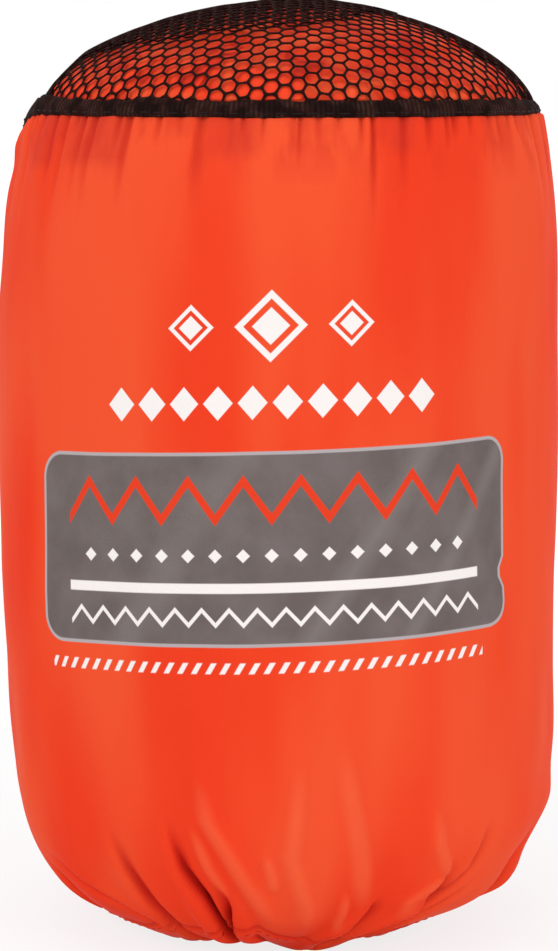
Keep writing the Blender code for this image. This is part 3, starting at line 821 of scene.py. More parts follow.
def make_steel_material():
    material = Material("spring_steel", (0.60, 0.60, 0.62), 0.28)
    material.set("Metallic", 1.0)
    material.set("Roughness", material.noise(0.2, 2) * 0.2 + 0.2)
    return material.finish()


def make_seat_material():
    material = Material("seat_fabric", (0.085, 0.086, 0.094), 0.58)
    material.patches((0.13, 0.13, 0.14), 6, 3, 0.5, 0.3, 0.6)
    material.weave_all_over(0.7, 0.08)
    return material.finish()


def make_film_material():
    material = Material("window_film", (0.86, 0.89, 0.90), 0.12)
    material.set("Transmission Weight", 0.75)
    material.set("IOR", 1.5)
    material.grain(5, 2, 0.2, 0.4)
    return material.finish()


def make_strip_material():
    material = Material("reflective_tape", (0.55, 0.56, 0.58), 0.30)
    inputs = {"Vector": material.place, "Scale": 1 / MM}
    node = add_node(material.tree, "TexVoronoi", inputs)
    beads = Field(material.tree, node.outputs["Distance"])
    material.paint((0.74, 0.75, 0.77), beads.less(0.35, 0.1) * 0.7)
    material.set("Metallic", 0.35)
    material.bump(beads, 0.05, 0.4)
    return material.finish()


def make_fibre_material(name, colour, roughness, patches, grain, specular=None):
    """Net, cord or thread: patches of a second colour, and fine relief."""
    material = Material(name, colour, roughness)
    material.patches(*patches)
    material.grain(*grain)
    return material.finish(specular)


def make_thread_material(name, colour):
    patches = (tuple(part * 0.6 for part in colour), 0.7, 2, 0.5, 0.2, 1)
    return make_fibre_material(name, colour, 0.6, patches, (0.12, 2, 0.03, 0.6), 0.15)


SACK_NYLON = make_sack_material()
SACK_THREAD = make_thread_material("sack_thread", (0.74, 0.040, 0.016))
TAPE_THREAD = make_thread_material("tape_thread", (0.014, 0.006, 0.005))
SHELTER_NYLON = make_shelter_material()
BLACK_NET = make_fibre_material(
    "black_net", (0.017, 0.0052, 0.0044), 0.80,
    ((0.036, 0.014, 0.011), 1.6, 3, 0.55, 0.2, 0.6), (0.22, 2, 0.08, 0.7), 0.04)
BINDING_TAPE = make_binding_material()
CORD_BRAID = make_fibre_material(
    "cord", (0.016, 0.016, 0.018), 0.72,
    ((0.045, 0.044, 0.046), 0.5, 2, 0.55, 0.2, 0.6), (0.15, 2, 0.05, 0.6))
LOCK_PLASTIC = make_plastic_material()
SPRING_STEEL = make_steel_material()
SEAT_FABRIC = make_seat_material()
WINDOW_FILM = make_film_material()
REFLECTIVE_TAPE = make_strip_material()


CLOTH_COLUMNS = 540
FRONT_DETAIL = 0.42
MEAN_RADIUS = 63.5 * MM
BASE_CLOTH, BASE_ROWS = 66.0 * MM, 84
TOP_CLOTH, TOP_ROWS = 30.0 * MM, 38
SIDE_ROWS = 52
# The skin's last row is tucked in under the binding: how far as a share, more at the right, and up
TUCK, TUCK_MORE, TUCK_RISE = 0.018, 0.030, 1.8 * MM


def cloth_angles(columns=CLOTH_COLUMNS):
    """Angles round the sack from the middle of the back, closer together at the front."""
    share = np.arange(columns) / columns
    return 90 + 360 * (share + FRONT_DETAIL * np.sin(CIRCLE * share) / CIRCLE)


def across_front(angle, radius=MEAN_RADIUS):
    return np.radians(turn_between(angle, FRONT)) * radius


def make_sack_skin():
    """The sack's cloth: gathered at the hem, rounded over what is packed, puckered at the seam."""
    side_end = CLOTH_LENGTH - TOP_CLOTH
    rows = np.concatenate([
        np.linspace(0, BASE_CLOTH, BASE_ROWS, endpoint=False),
        np.linspace(BASE_CLOTH, side_end, SIDE_ROWS, endpoint=False),
        np.linspace(side_end, CLOTH_LENGTH, TOP_ROWS),
    ])
    angle, along = np.meshgrid(cloth_angles(), rows)
    points = cloth_points(angle, along)
    fold, shine = cloth_folds(angle, along)[2:]
    tuck = 1 - TUCK - TUCK_MORE * near(angle[0], 0, TUCKED_SPREAD)[:, None]
    tucked = points[-1] * (tuck * (1, 1, 0) + (0, 0, 1)) + (0, 0, TUCK_RISE)
    skin = join_grid("sack_skin", np.concatenate([points, tucked[None]]))
    # The fold attribute holds the depth of the painted shade in creases, puckers and the hem's
    # stitch line, then where the painted ridge highlight goes
    places = {"cloth": (across_front(angle), at_along(along)[1], along),
              "fold": (fold, shine, 0 * fold)}
    for name, parts in places.items():
        keep_places(skin, name, *(np.concatenate([part, part[-1:]]) for part in parts))
    place_piece(skin, SACK_NYLON, "sack_nylon", "sack_body")
    return skin


HELD_CORD_RADIUS = 18.8 * MM
HEM_CLOTH = 0.45 * MM
HEM_POWER = 2 / 3.2
# Its section starts where the sack's cloth ends and goes down and all round, in degrees
HEM_FROM, HEM_TO, HEM_ROWS = 42, -292, 44
HEM_GATHERS, GATHER_DEPTH = 19, 0.6 * MM
# The gap at the back where the tails come out, and its floor over the wall and further out
GAP_HALF, GAP_REACH, WALL_REACH = 9.6 * MM, 20.5 * MM, 17.6 * MM
WALL_FLOOR, GAP_FLOOR = 0.9 * MM, 2.2 * MM


def make_sack_hem():
    """The hem that holds the drawcord, open at the back where the tails come out."""
    turns = np.radians(np.linspace(HEM_FROM, HEM_TO, HEM_ROWS))
    out, rise = (part[:, None] for part in squared_circle(turns, HEM_POWER))
    angle, share = np.meshgrid(cloth_angles(), np.linspace(0, 1, len(turns)))
    inner = (1 - out) / 2
    turn = np.radians(angle)
    warp = turn + 0.07 * np.sin(3 * turn + 0.8) + 0.045 * np.sin(7 * turn + 2.1)
    gathers = np.abs(np.sin(HEM_GATHERS * warp)) ** 0.8 - 0.62
    lobes = np.sin(5 * warp + 0.7) * 0.6 + np.sin(8 * turn + 1.9) * 0.4
    middle = HEM_RADIUS - HEM_BREADTH / 2
    radius = middle + out * HEM_BREADTH / 2 + out * gathers * GATHER_DEPTH
    height = HEM_HIGH.z / 2 * (1 + 0.97 * rise)
    lift = (0.5 - 0.5 * lobes) * 1.0 * MM + (0.4 - gathers) * 0.8 * MM * (0.3 + inner)
    clear_of_cord = 1 - 0.9 * bell(radius - HELD_CORD_RADIUS + 0.8 * MM, 4.0 * MM)
    height = height + smooth_step(rise, 0.3, -0.9) * lift * clear_of_cord
    height = np.maximum(height, CLEAR_OF_FLOOR)
    top = cloth_points(angle[0], np.zeros(CLOTH_COLUMNS))
    seam = np.concatenate([np.ones(1), smooth_step(share[1:, 0], 0.10, 0)])[:, None, None]
    points = round_sack(turn, radius, height) * (1 - seam) + top[None] * seam
    hem = join_grid("sack_hem", points)
    keep_places(hem, "cloth", across_front(angle), 0, -share * 30 * MM)

    def open_channel(shape):
        gone = [face for face in shape.faces if channel_opening(face.calc_center_median())]
        bmesh.ops.delete(shape, geom=gone, context="FACES")
    edited(hem, open_channel)
    modify(hem, "SOLIDIFY", thickness=HEM_CLOTH, offset=1.0)
    place_piece(hem, SACK_NYLON, "sack_nylon", "drawcord_channel")


def channel_opening(point):
    """Whether a point lies in the gap at the back where the drawcord's tails leave the hem. The
    gap stays above the wall that the hem lies on."""
    low = WALL_FLOOR if math.hypot(point.x, point.y) < WALL_REACH else GAP_FLOOR
    return abs(point.x) < GAP_HALF and 0 < point.y < GAP_REACH and point.z > low


# The net end
NET_RADIUS = (NET_HIGH.x - NET_LOW.x) / 2
NET_BASE = SEAM_HEIGHT + 1.2 * MM
NET_RISE = NET_HIGH.z - NET_BASE
DOME_POWER = 1.8
APEX_SHIFT = 3.5 * MM
RIGHT_FLATTEN = 3.4 * MM
STRAND, STRAND_HEIGHT = 0.60 * MM, 0.42 * MM
CELL_SIDE = 2.15 * MM
CELL_POINTS = 12
# Rings of a strand from the middle of one side to the other: share inward, and height
STRAND_RINGS = ((0.0, 1.0), (0.55, 0.85), (1.0, 0.0), (0.55, -0.85), (0.0, -1.0))
CELL_CORNER, CELL_MIDDLE = 0.91, 1.0


def dome_height(share):
    """The height of the plain dome, as a share of its rise, at a share of its radius."""
    return (1 - share**DOME_POWER) ** (1 / DOME_POWER)


DOME_SHARE = np.linspace(0, 1, 2000)
DOME_ALONG = running_sum(np.hypot(np.diff(NET_RADIUS * DOME_SHARE),
                                  np.diff(NET_RISE * dome_height(DOME_SHARE))))


def dome_points(share_x, share_y, inset=0.0):
    """Places on the net's dome, at shares of its radius, or on one that lies inside it."""
    reach = np.minimum(1.0, np.hypot(share_x, share_y))
    shift = APEX_SHIFT * (1 - reach * reach) + drift_at(SEAM_HEIGHT)
    shift = shift - RIGHT_FLATTEN * smooth_step(share_x, -0.1, 0.6) * (1 - reach * reach) ** 0.6
    dip = seam_dip(np.degrees(np.arctan2(share_y, share_x))) * smooth_step(reach, 0.80, 1.0)
    return stacked((NET_RADIUS - inset) * share_x + shift,
                   FLATTEN * (NET_RADIUS - inset) * share_y,
                   NET_BASE + (NET_RISE - inset) * dome_height(reach) - dip)


def dome_outward(share_x, share_y):
    """The direction that the dome faces at a place."""
    step = 1e-3
    here = dome_points(share_x, share_y)
    inward = dome_points(share_x * (1 - step) + step * 0.01, share_y * (1 - step))
    beside = dome_points(share_x * math.cos(step) - share_y * math.sin(step),
                         share_x * math.sin(step) + share_y * math.cos(step))
    outward = np.cross(beside - here, inward - here)
    return outward / np.maximum(np.linalg.norm(outward, axis=-1, keepdims=True), TINY)


def net_cells(reach):
    """The middles of six-sided cells that fill a disc, in columns side by side."""
    middles = []
    row_pitch = math.sqrt(3) * CELL_SIDE
    columns, rows = int(reach / (1.5 * CELL_SIDE)) + 2, int(reach / row_pitch) + 2
    for column in range(-columns, columns + 1):
        for row in range(-rows, rows + 1):
            place = (1.5 * CELL_SIDE * column, row_pitch * (row + (column % 2) / 2))
            if math.hypot(*place) < reach + 0.6 * CELL_SIDE:
                middles.append(place)
    return middles


def net_strands(middles):
    """The net laid flat: strands round six-sided openings, thicker in their middle. Every cell
    has twelve points in a ring on the strands' middle, shared with its neighbours, and rings
    towards its opening above and below."""
    across = np.array([CELL_SIDE, CELL_SIDE * math.cos(math.pi / 6)] * (CELL_POINTS // 2))
    opening = (across - STRAND / 2) * np.tile((CELL_CORNER, CELL_MIDDLE), CELL_POINTS // 2)
    turn = np.radians(360 / CELL_POINTS) * np.arange(CELL_POINTS)
    around = np.stack([np.cos(turn), np.sin(turn)], axis=-1)
    points, faces, shared = [], [], {}
    for middle in middles:
        rows = []
        for inward, height in STRAND_RINGS:
            distance = across + (opening - across) * inward
            row = []
            for x, y in np.array(middle) + around * distance[:, None]:
                key = (round(x / MM, 2), round(y / MM, 2), height)
                if inward > 0 or key not in shared:
                    points.append((x, y, height * STRAND_HEIGHT / 2))
                    shared[key] = len(points) - 1
                row.append(shared[key])
            rows.append(row)
        for low, high in zip(rows, rows[1:]):
            for side in range(CELL_POINTS):
                after = (side + 1) % CELL_POINTS
                faces.append((low[side], low[after], high[after], high[side]))
    return np.array(points), faces


# The front edge of the strip where the net lies double: across and back, as shares of its radius
OVERLAP_ACROSS = (-0.90, -0.66, -0.52, -0.38, -0.24, -0.10, 0.04, 0.17, 0.26, 0.35, 0.52)
OVERLAP_EDGE = (-0.22, -0.46, -0.54, -0.62, -0.65, -0.63, -0.59, -0.55, -0.34, -0.10, 0.20)
OVERLAP_BACK = 0.34
OVERLAP_WAVE, OVERLAP_WAVE_LENGTH = 0.8 * MM, 4 * MM


def overlap_reaches(x, y):
    """Whether the net lies double at a place on the flat net: in a pleat over its top, which is
    wider at the left."""
    edge = np.interp(x / NET_RADIUS, OVERLAP_ACROSS, OVERLAP_EDGE) * NET_RADIUS
    wavy = OVERLAP_WAVE * np.sin(x / OVERLAP_WAVE_LENGTH)
    return edge + wavy < y < OVERLAP_BACK * NET_RADIUS - wavy


# Layers of the net: name, shift in mm, height in mm above the dome, what its seed adds, and node
NET_LAYERS = (("net_dome", (0.0, 0.0), 0.0, 0, "mesh_end"),
              ("net_overlap", (1.3, 0.9), 0.28, 40, None))
NET_TURN = math.radians(2.5)
NET_SAG = 0.08 * MM


def make_net():
    """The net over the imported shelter. Its strands are made flat and then drawn over the dome."""
    reach = DOME_ALONG[-1]
    cos, sin = math.cos(NET_TURN), math.sin(NET_TURN)
    spin = np.array([[cos, -sin], [sin, cos]])
    for name, shift, above, more, node in NET_LAYERS:
        middles = [place for place in net_cells(reach) if node or overlap_reaches(*place)]
        flat, faces = net_strands(middles)
        flat[:, :2] = flat[:, :2] @ spin.T + np.array(shift) * MM
        angle = np.degrees(np.arctan2(flat[:, 1], flat[:, 0]))
        away = np.hypot(flat[:, 0], flat[:, 1])
        for axis in (0, 1):
            flat[:, axis] += wide_waves("net_strands", angle, away, more + axis)
        away = np.hypot(flat[:, 0], flat[:, 1])
        share = np.interp(np.minimum(away, reach), DOME_ALONG, DOME_SHARE)
        toward = flat[:, :2] / np.maximum(away, TINY)[:, None]
        dome = (share * toward[:, 0], share * toward[:, 1])
        sag = np.clip(wide_waves("net_sag", angle, away), -NET_SAG, NET_SAG)
        lift = flat[:, 2] + sag * (1 - share**4) + above * MM * (1 - share**6)
        net = object_of(name, dome_points(*dome) + dome_outward(*dome) * lift[:, None], faces)
        place_piece(net, BLACK_NET, "net", node)


# Pleats of slack net folded in under the dome: the angles of their foot and top, the share of the
# dome where they start, their height and width in mm, and how far they lift off at one place
PLEATS = (
    (180.0, 186.0, 0.40, 2.2, 1.3, 1.0),
    (188.0, 192.0, 0.62, 2.8, 1.4, 0.2),
    (172.0, 178.0, 0.66, 2.8, 1.4, 0.2),
    (196.0, 199.0, 0.84, 2.4, 1.3, 0.1),
    (3.0, -5.0, 0.50, 1.8, 1.2, 0.2),
    (-9.0, -14.0, 0.74, 2.4, 1.2, 0.1),
    (-17.0, -20.0, 0.86, 2.0, 1.1, 0.1),
)
PLEAT_LIFT_AT, PLEAT_LIFT_SPREAD, PLEAT_LIFT_THINNER = 0.93, 0.045, 0.45
PLEAT_GROWS_OVER = 0.25
PLEAT_EDGE, PLEAT_OUT = 0.1 * MM, 0.25 * MM
PLEAT_RINGS, PLEAT_SIDES = 60, 12


def make_pleats():
    for number, (foot, top, start, height, thick, off) in enumerate(PLEATS, 1):
        share = np.linspace(start, 1.0, PLEAT_RINGS)
        turn = np.radians(np.interp(share, (start, 1.0), (top, foot)))
        dome = (share * np.cos(turn), share * np.sin(turn))
        base, outward = dome_points(*dome), dome_outward(*dome)
        grown = smooth_step(share, start, start + PLEAT_GROWS_OVER)
        lifted = bell(share - PLEAT_LIFT_AT, PLEAT_LIFT_SPREAD)
        beside = np.cross(unit(np.gradient(base, axis=0)), outward)
        tall = height * MM / 2 * grown * (1 - PLEAT_LIFT_THINNER * lifted) + PLEAT_EDGE
        wide = thick * MM / 2 * grown + PLEAT_EDGE
        middle = base + outward * (PLEAT_OUT - tall + off * MM * lifted)[:, None]
        rings = rings_round(middle, tall[:, None] * outward, wide[:, None] * beside, PLEAT_SIDES)
        ruffle = wide_waves("pleat", share * 900, share, number)
        rings = rings + beside[:, None] * ruffle[:, None, None]
        pleat = capped_tube(f"net_pleat_{number}", rings, 0.5 * MM)
        place_piece(pleat, BLACK_NET, "net")


# The tape round the net's edge
BINDING_LEAN = 1.3 * MM
TAPE = 0.9 * MM
BINDING_COLUMNS = 560
# What the tape does at places, as height in mm, angle and spread: it is wider over the dip, its
# top stands up or sags, both its ends in the picture tilt in, and its foot clears the cloth
DIP_WIDER = (2.0, SEAM_DIP_ANGLE, 22)
TOP_UP, TOP_DOWN = (0.9, -119, 3.0), (1.0, 2, 18)
TILT, TILTS = 0.8 * MM, ((1, 182, 24), (1, 0, 24))
FOOT_CLEAR = (1.1, SEAM_DIP_ANGLE, 16)


def binding_ring(angle, radius, height):
    """A line round the binding at a radius and height of its plain shape, a little crumpled."""
    share = (height - BINDING_LOW.z) / (BINDING_HIGH.z - BINDING_LOW.z)
    wide = change_at(angle, *DIP_WIDER) * MM
    edge = wide_waves("binding_top", angle, 0) * share
    edge = edge + change_at(angle, *TOP_UP) * MM * share - change_at(angle, *TOP_DOWN) * MM * share
    tilt = sum(change_at(angle, *place) for place in TILTS)
    hang = wide_waves("binding_foot", angle, 0) * (1 - share)
    clear = change_at(angle, *FOOT_CLEAR) * MM - change_at(angle, TUCKED_IN, 0, TUCKED_SPREAD)
    reach = radius + wide_waves("binding", angle, height) + clear * (1 - share)
    reach = reach - TILT * share * tilt
    height = height + edge + hang + wide * share - seam_dip(angle)
    return round_sack(np.radians(angle), reach, height, drift_at(SEAM_HEIGHT))


# The outside of the tape's lower part, in mm: out from the seam's radius, and up from its foot
BINDING_FOOT = ((-0.2, -0.15), (0.25, 0.5), (0.10, 1.4), (-0.25, 2.5))


def make_binding():
    """The tape that binds the net to the top of the sack."""
    angle = cloth_angles(BINDING_COLUMNS)
    low, high = BINDING_LOW.z, BINDING_HIGH.z
    top = SEAM_RADIUS - BINDING_LEAN
    section = [
        (SEAM_RADIUS - TAPE, low + 0.4 * MM),
        *((SEAM_RADIUS + out * MM, low + up * MM) for out, up in BINDING_FOOT),
        (top + 0.35 * MM, high - 0.5 * MM),
        (top, high + 0.1 * MM),
        (top - 0.5 * TAPE, high + 0.15 * MM),
        (top - TAPE, high - 0.6 * MM),
    ]
    rows = [binding_ring(angle, radius, height) for radius, height in section]
    tape = join_grid("binding_band", np.array(rows), loop=True)
    heights = np.array([height for _, height in section])[:, None]
    keep_places(tape, "cloth", across_front(angle, SEAM_RADIUS)[None], heights, 0)
    subdivide(tape)
    place_piece(tape, BINDING_TAPE, "binding_tape", "mesh_binding")


def crumple_field(x, y, size, seed):
    """0 in the hollows and 1 on the ridges of crumpled cloth, over points x and y."""
    random = np.random.default_rng(seed)
    span = max(np.ptp(x), np.ptp(y)) / 2 + size
    count = int((2 * span / size) ** 2)
    hollows = random.uniform(-span, span, (count, 2))
    hollows += (np.mean([x.min(), x.max()]), np.mean([y.min(), y.max()]))
    nearest = np.full(x.shape, np.inf)
    for place in hollows:
        stretch = random.uniform(0.6, 1.0)
        nearest = np.minimum(nearest, np.hypot((x - place[0]) * stretch, y - place[1]))
    return np.clip(nearest / (0.85 * size), 0, 1)


ROOF_INSET = 0.9 * MM
ROOF_COLUMNS, ROOF_RINGS = 144, 44
# Crumples of the roof: their size in mm, seed, depth in mm and sharpness
CRUMPLES = ((13, 41, 2.2, 1.4), (5.5, 42, 1.2, 1.3))
ROOF_GAP = 0.34 * MM
ROOF_FULLNESS = 0.62
# How far out the crown may reach under the net, as a share, and less at the left and right
CROWN_MOST, CROWN_LESS = 0.985, ((0.045, 184, 20), (0.012, -4, 16))
# The simulation of the roof: how much larger it runs, its slack, its gap to the net and frames
ROOF_SCALE = 10.0
ROOF_SLACK = 0.16
ROOF_CONTACT = 0.004
ROOF_SHELL_INSET = 0.4 * MM
ROOF_FRAMES = 22
ROOF_MOST = 8 * MM


def make_roof():
    """The crumpled roof of the shelter, which shows through the net. Its crown has more cloth than
    the dome, and a cloth simulation presses it up against the net from below."""
    angle = cloth_angles(ROOF_COLUMNS)
    share = 1 - (1 - np.linspace(0.004, 1, ROOF_RINGS)) ** 1.25
    grid_angle, grid_share = np.meshgrid(np.radians(angle), share[::-1])
    x, y = grid_share * np.cos(grid_angle), grid_share * np.sin(grid_angle)
    crown = dome_points(x, y, ROOF_INSET)
    flat_x, flat_y = x * (NET_RADIUS - ROOF_INSET), y * (NET_RADIUS - ROOF_INSET)
    depth = sum(deep * MM * (1 - crumple_field(flat_x, flat_y, size * MM, seed)) ** sharp
                for size, seed, deep, sharp in CRUMPLES)
    crown[..., 2] -= depth * (1 - 0.8 * grid_share**8)
    radius = (ROOF_HIGH.x - ROOF_LOW.x) / 2
    neck = []
    for height, reach in ((ROOF_LOW.z, radius - 4 * MM),
                          (ROOF_LOW.z + 1.5 * MM, radius - 1 * MM),
                          (ROOF_LOW.z + 5 * MM, radius),
                          (SEAM_HEIGHT - 2 * MM, SEAM_RADIUS - 1.9 * MM)):
        reach = reach - np.abs(wide_waves("roof_neck", angle, height))
        neck.append(round_sack(np.radians(angle), reach, height, drift_at(height)))
    roof = join_grid("roof_cloth", np.concatenate([np.array(neck), crown]))
    press_against_net(roof, (len(neck) + 2) * ROOF_COLUMNS)
    under_net(roof, (len(neck) + 1) * ROOF_COLUMNS)
    close_ends(roof, ROOF_COLUMNS)
    subdivide(roof)
    place_piece(roof, SHELTER_NYLON, "shelter_nylon", "shelter_roof")


def press_against_net(roof, held):
    """Simulates the slack cloth of the crown as it is pressed up under the net. The first points,
    those of the neck, are held. It runs at ten times the size, which suits the simulation."""
    start = mesh_points(roof)
    move_points(roof, start * ROOF_SCALE)
    roof.vertex_groups.new(name="held").add(list(range(held)), 1.0, "REPLACE")
    turn, share = np.meshgrid(np.radians(np.arange(0, 360, 3)), np.linspace(1.0, 0.02, 40))
    dome = dome_points(share * np.cos(turn), share * np.sin(turn), ROOF_SHELL_INSET)
    shell = join_grid("net_shell", dome * ROOF_SCALE)
    modify(shell, "COLLISION")
    assign(shell.collision, use_culling=False, thickness_outer=ROOF_CONTACT,
           thickness_inner=ROOF_CONTACT, cloth_friction=10)
    cloth = modify(roof, "CLOTH")
    assign(cloth.settings, quality=5, mass=0.2, bending_stiffness=0.08, shrink_min=-ROOF_SLACK,
           use_pressure=True, uniform_pressure_force=2.5, vertex_group_mass="held")
    assign(cloth.collision_settings, distance_min=ROOF_CONTACT, collision_quality=3)
    simulate(roof, cloth, ROOF_FRAMES)
    bpy.data.objects.remove(shell)
    roof.vertex_groups.clear()
    moved = mesh_points(roof) / ROOF_SCALE
    too_far = np.linalg.norm(moved - start, axis=1) > ROOF_MOST
    broken = ~np.isfinite(moved).all(axis=1) | too_far
    moved[broken] = start[broken]
    move_points(roof, moved)


def simulate(obj, cloth, frames):
    """Runs a cloth simulation without gravity, and keeps its result."""
    cloth.settings.effector_weights.gravity = 0.0
    for number in range(1, frames + 1):
        bpy.context.scene.frame_set(number)
    apply_modifiers(obj)


def under_net(roof, first):
    """Keeps the crown's cloth a little inside the net, wherever the simulation left it."""
    points = mesh_points(roof)
    crown = points[first:]
    share = np.zeros((len(crown), 2))
    for _ in range(4):
        shift = dome_points(share[:, 0], share[:, 1])[:, 0] - NET_RADIUS * share[:, 0]
        share = np.stack([(crown[:, 0] - shift) / NET_RADIUS,
                          crown[:, 1] / (FLATTEN * NET_RADIUS)], axis=-1)
        angle = np.degrees(np.arctan2(share[:, 1], share[:, 0]))
        most = CROWN_MOST - sum(change_at(angle, *place) for place in CROWN_LESS)
        away = np.hypot(share[:, 0], share[:, 1])
        share = share * np.minimum(1.0, most / np.maximum(away, TINY))[:, None]
    top, outward = dome_points(*share.T), dome_outward(*share.T)
    ceiling = top[:, 2] - ROOF_GAP / np.maximum(outward[:, 2], 0.45)
    height = np.minimum(crown[:, 2], ceiling)
    height = height + (ceiling - height) * ROOF_FULLNESS
    points[first:] = stacked(top[:, 0], top[:, 1], height)
    move_points(roof, points)


INSIDE_CLOTH = 0.7 * MM
INSIDE_BOX = 0.15 * MM
SIDE_RAY, FLOOR_RAY, FLOOR_RAY_START = 90 * MM, 50 * MM, 8 * MM


def skin_tree(skin):
    """The sack's cloth, as something that rays can meet."""
    points = [vertex.co.copy() for vertex in skin.data.vertices]
    return BVHTree.FromPolygons(points, [face.vertices[:] for face in skin.data.polygons])


def keep_inside(obj, tree, node):
    """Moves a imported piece's points inside its solid's box and inside the sack's cloth."""
    low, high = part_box(node)
    points = np.clip(mesh_points(obj), np.array(low) + INSIDE_BOX, np.array(high) - INSIDE_BOX)
    for index, (x, y, z) in enumerate(points):
        away = math.hypot(x, y)
        if away > 0.6 * NET_RADIUS:
            out = Vector((x / away, y / away, 0))
            place, _, _, reach = tree.ray_cast(Vector((0, 0, z)), out, SIDE_RAY)
            if place is not None and reach - INSIDE_CLOTH < away:
                points[index, :2] *= (reach - INSIDE_CLOTH) / away
        start = Vector((points[index, 0], points[index, 1], z + FLOOR_RAY_START))
        floor = tree.ray_cast(start, DOWN, FLOOR_RAY)[0]
        if z < CORNER_TOP and floor is not None and floor.z + INSIDE_CLOTH > z:
            points[index, 2] = min(floor.z + INSIDE_CLOTH, high.z - INSIDE_BOX)
    move_points(obj, points)


PAD_PRESSURE, PAD_SLACK, PAD_FRAMES, PAD_MOST = 4.0, 0.12, 20, 1.6
# The voxels that a seat panel and a wall are remeshed with, and how far they swell
SEAT_VOXEL, SEAT_SWELL = 3.6 * MM, 1.4 * MM
WALL_VOXEL, WALL_SWELL = 4.5 * MM, 1.8 * MM
SEAT_LAYER, SEAT_GROOVE = 3.0 * MM, 1.1 * MM
WALL_CRUMPLE, WALL_CREASE = 17 * MM, 3.2 * MM


def stuffed_copy(name, node, voxel, swell):
    """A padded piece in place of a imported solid, puffed up by a cloth simulation."""
    solid = bpy.data.objects[node]
    obj = add_object(name, solid.data.copy())
    obj.data.transform(solid.matrix_world)
    low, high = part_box(node)
    middle, size = np.array((low + high) / 2), np.array(high - low)
    points = mesh_points(obj)
    move_points(obj, middle + (points - middle) * (1 - 2 * swell / size))
    modify(obj, "REMESH", mode="VOXEL", voxel_size=voxel)
    apply_modifiers(obj)
    before = mesh_points(obj)
    cloth = modify(obj, "CLOTH")
    assign(cloth.settings, use_pressure=True, uniform_pressure_force=PAD_PRESSURE,
           shrink_min=-PAD_SLACK)
    simulate(obj, cloth, PAD_FRAMES)
    moved = mesh_points(obj) - before
    reach = np.maximum(np.linalg.norm(moved, axis=1, keepdims=True), TINY)
    move_points(obj, before + moved * np.minimum(1, swell * PAD_MOST / reach))
    subdivide(obj)
    return obj


def rows_of_layers(obj, pitch, depth):
    """Grooves round a folded pad, where its layers meet."""
    points = mesh_points(obj)
    low, high = points[:, 2].min(), points[:, 2].max()
    wave = 0.5 + 0.5 * np.cos(CIRCLE * (points[:, 2] - low) / pitch)
    edge = smooth_step(np.minimum(points[:, 2] - low, high - points[:, 2]), 0.3 * MM, 1.5 * MM)
    away = np.maximum(np.hypot(points[:, 0], points[:, 1]), 20 * MM)
    points[:, :2] *= (1 - depth * wave * edge / away)[:, None]
    move_points(obj, points)


def crumple(obj, size, depth, seed):
    """Presses hollows into a stuffed piece, between the ridges of crumpled cloth."""
    random = np.random.default_rng(seed)
    points = mesh_points(obj)
    low, high = points.min(axis=0), points.max(axis=0)
    count = int(np.prod((high - low) / size)) + 8
    nearest = np.full(len(points), np.inf)
    for place in random.uniform(low - size / 3, high + size / 3, (count, 3)):
        nearest = np.minimum(nearest, np.linalg.norm(points - place, axis=1))
    press = depth * (1 - np.clip(nearest / (0.8 * size), 0, 1)) ** 1.3
    move_points(obj, points - mesh_values(obj, "normal") * press[:, None])


def make_packed_pads(tree):
    """The folded seat panels and the two stuffed halves of the shelter's wall."""
    for number in (1, 2):
        node = f"seat_panel_{number}"
        pad = stuffed_copy(f"seat_pad_{number}", node, SEAT_VOXEL, SEAT_SWELL)
        rows_of_layers(pad, SEAT_LAYER, SEAT_GROOVE)
        keep_inside(pad, tree, node)
        place_piece(pad, SEAT_FABRIC, "seat_fabric", node)
    for seed, side in enumerate(("front", "back"), 60):
        node = f"shelter_wall_{side}"
        wad = stuffed_copy(f"wall_wad_{side}", node, WALL_VOXEL, WALL_SWELL)
        crumple(wad, WALL_CRUMPLE, WALL_CREASE, seed)
        keep_inside(wad, tree, node)
        place_piece(wad, SHELTER_NYLON, "shelter_nylon", node)


def folded_line(run, pitch, layers):
    """Points of a line folded to and fro in even layers: how far across, and how high."""
    bend = pitch / 2
    end = run / 2 - bend
    line = []
    for layer in range(layers):
        toward = 1 if layer % 2 == 0 else -1
        line += [(x, layer * pitch) for x in np.linspace(-toward * end, toward * end, 30)]
        if layer < layers - 1:
            for turn in np.linspace(-80, 80, 7):
                at = math.radians(turn)
                line.append((toward * (end + bend * math.cos(at)),
                             layer * pitch + bend + bend * math.sin(at)))
    return np.array(line)


def make_folded_sheet(name, node, layers, material, slot, more):
    """A thin sheet folded flat to and fro in its solid's place."""
    low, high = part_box(node)
    size, middle = high - low, (low + high) / 2
    line = folded_line(size.x - 0.6 * MM, (size.z - 0.8 * MM) / (layers - 1), layers)
    x, y = np.meshgrid(line[:, 0], np.linspace(low.y + 0.2 * MM, high.y - 0.2 * MM, 26))
    z = low.z + 0.4 * MM + line[:, 1][None] + wide_waves("folded", x / MM * 3, y, more)
    sheet = join_grid(name, stacked(middle.x + x, y, z), ring=False)
    place_piece(sheet, material, slot, node)


def make_folded_sheets():
    make_folded_sheet("folded_window", "window_film", 5, WINDOW_FILM, "window_film",
                      0)
    for number, side in ((1, "front"), (2, "back")):
        make_folded_sheet(f"folded_strip_{number}", f"reflective_strip_{number}", 3,
                          REFLECTIVE_TAPE, "reflective_tape", 1 + number)


ROLL_START, ROLL_PITCH = 3.0 * MM, 1.7 * MM


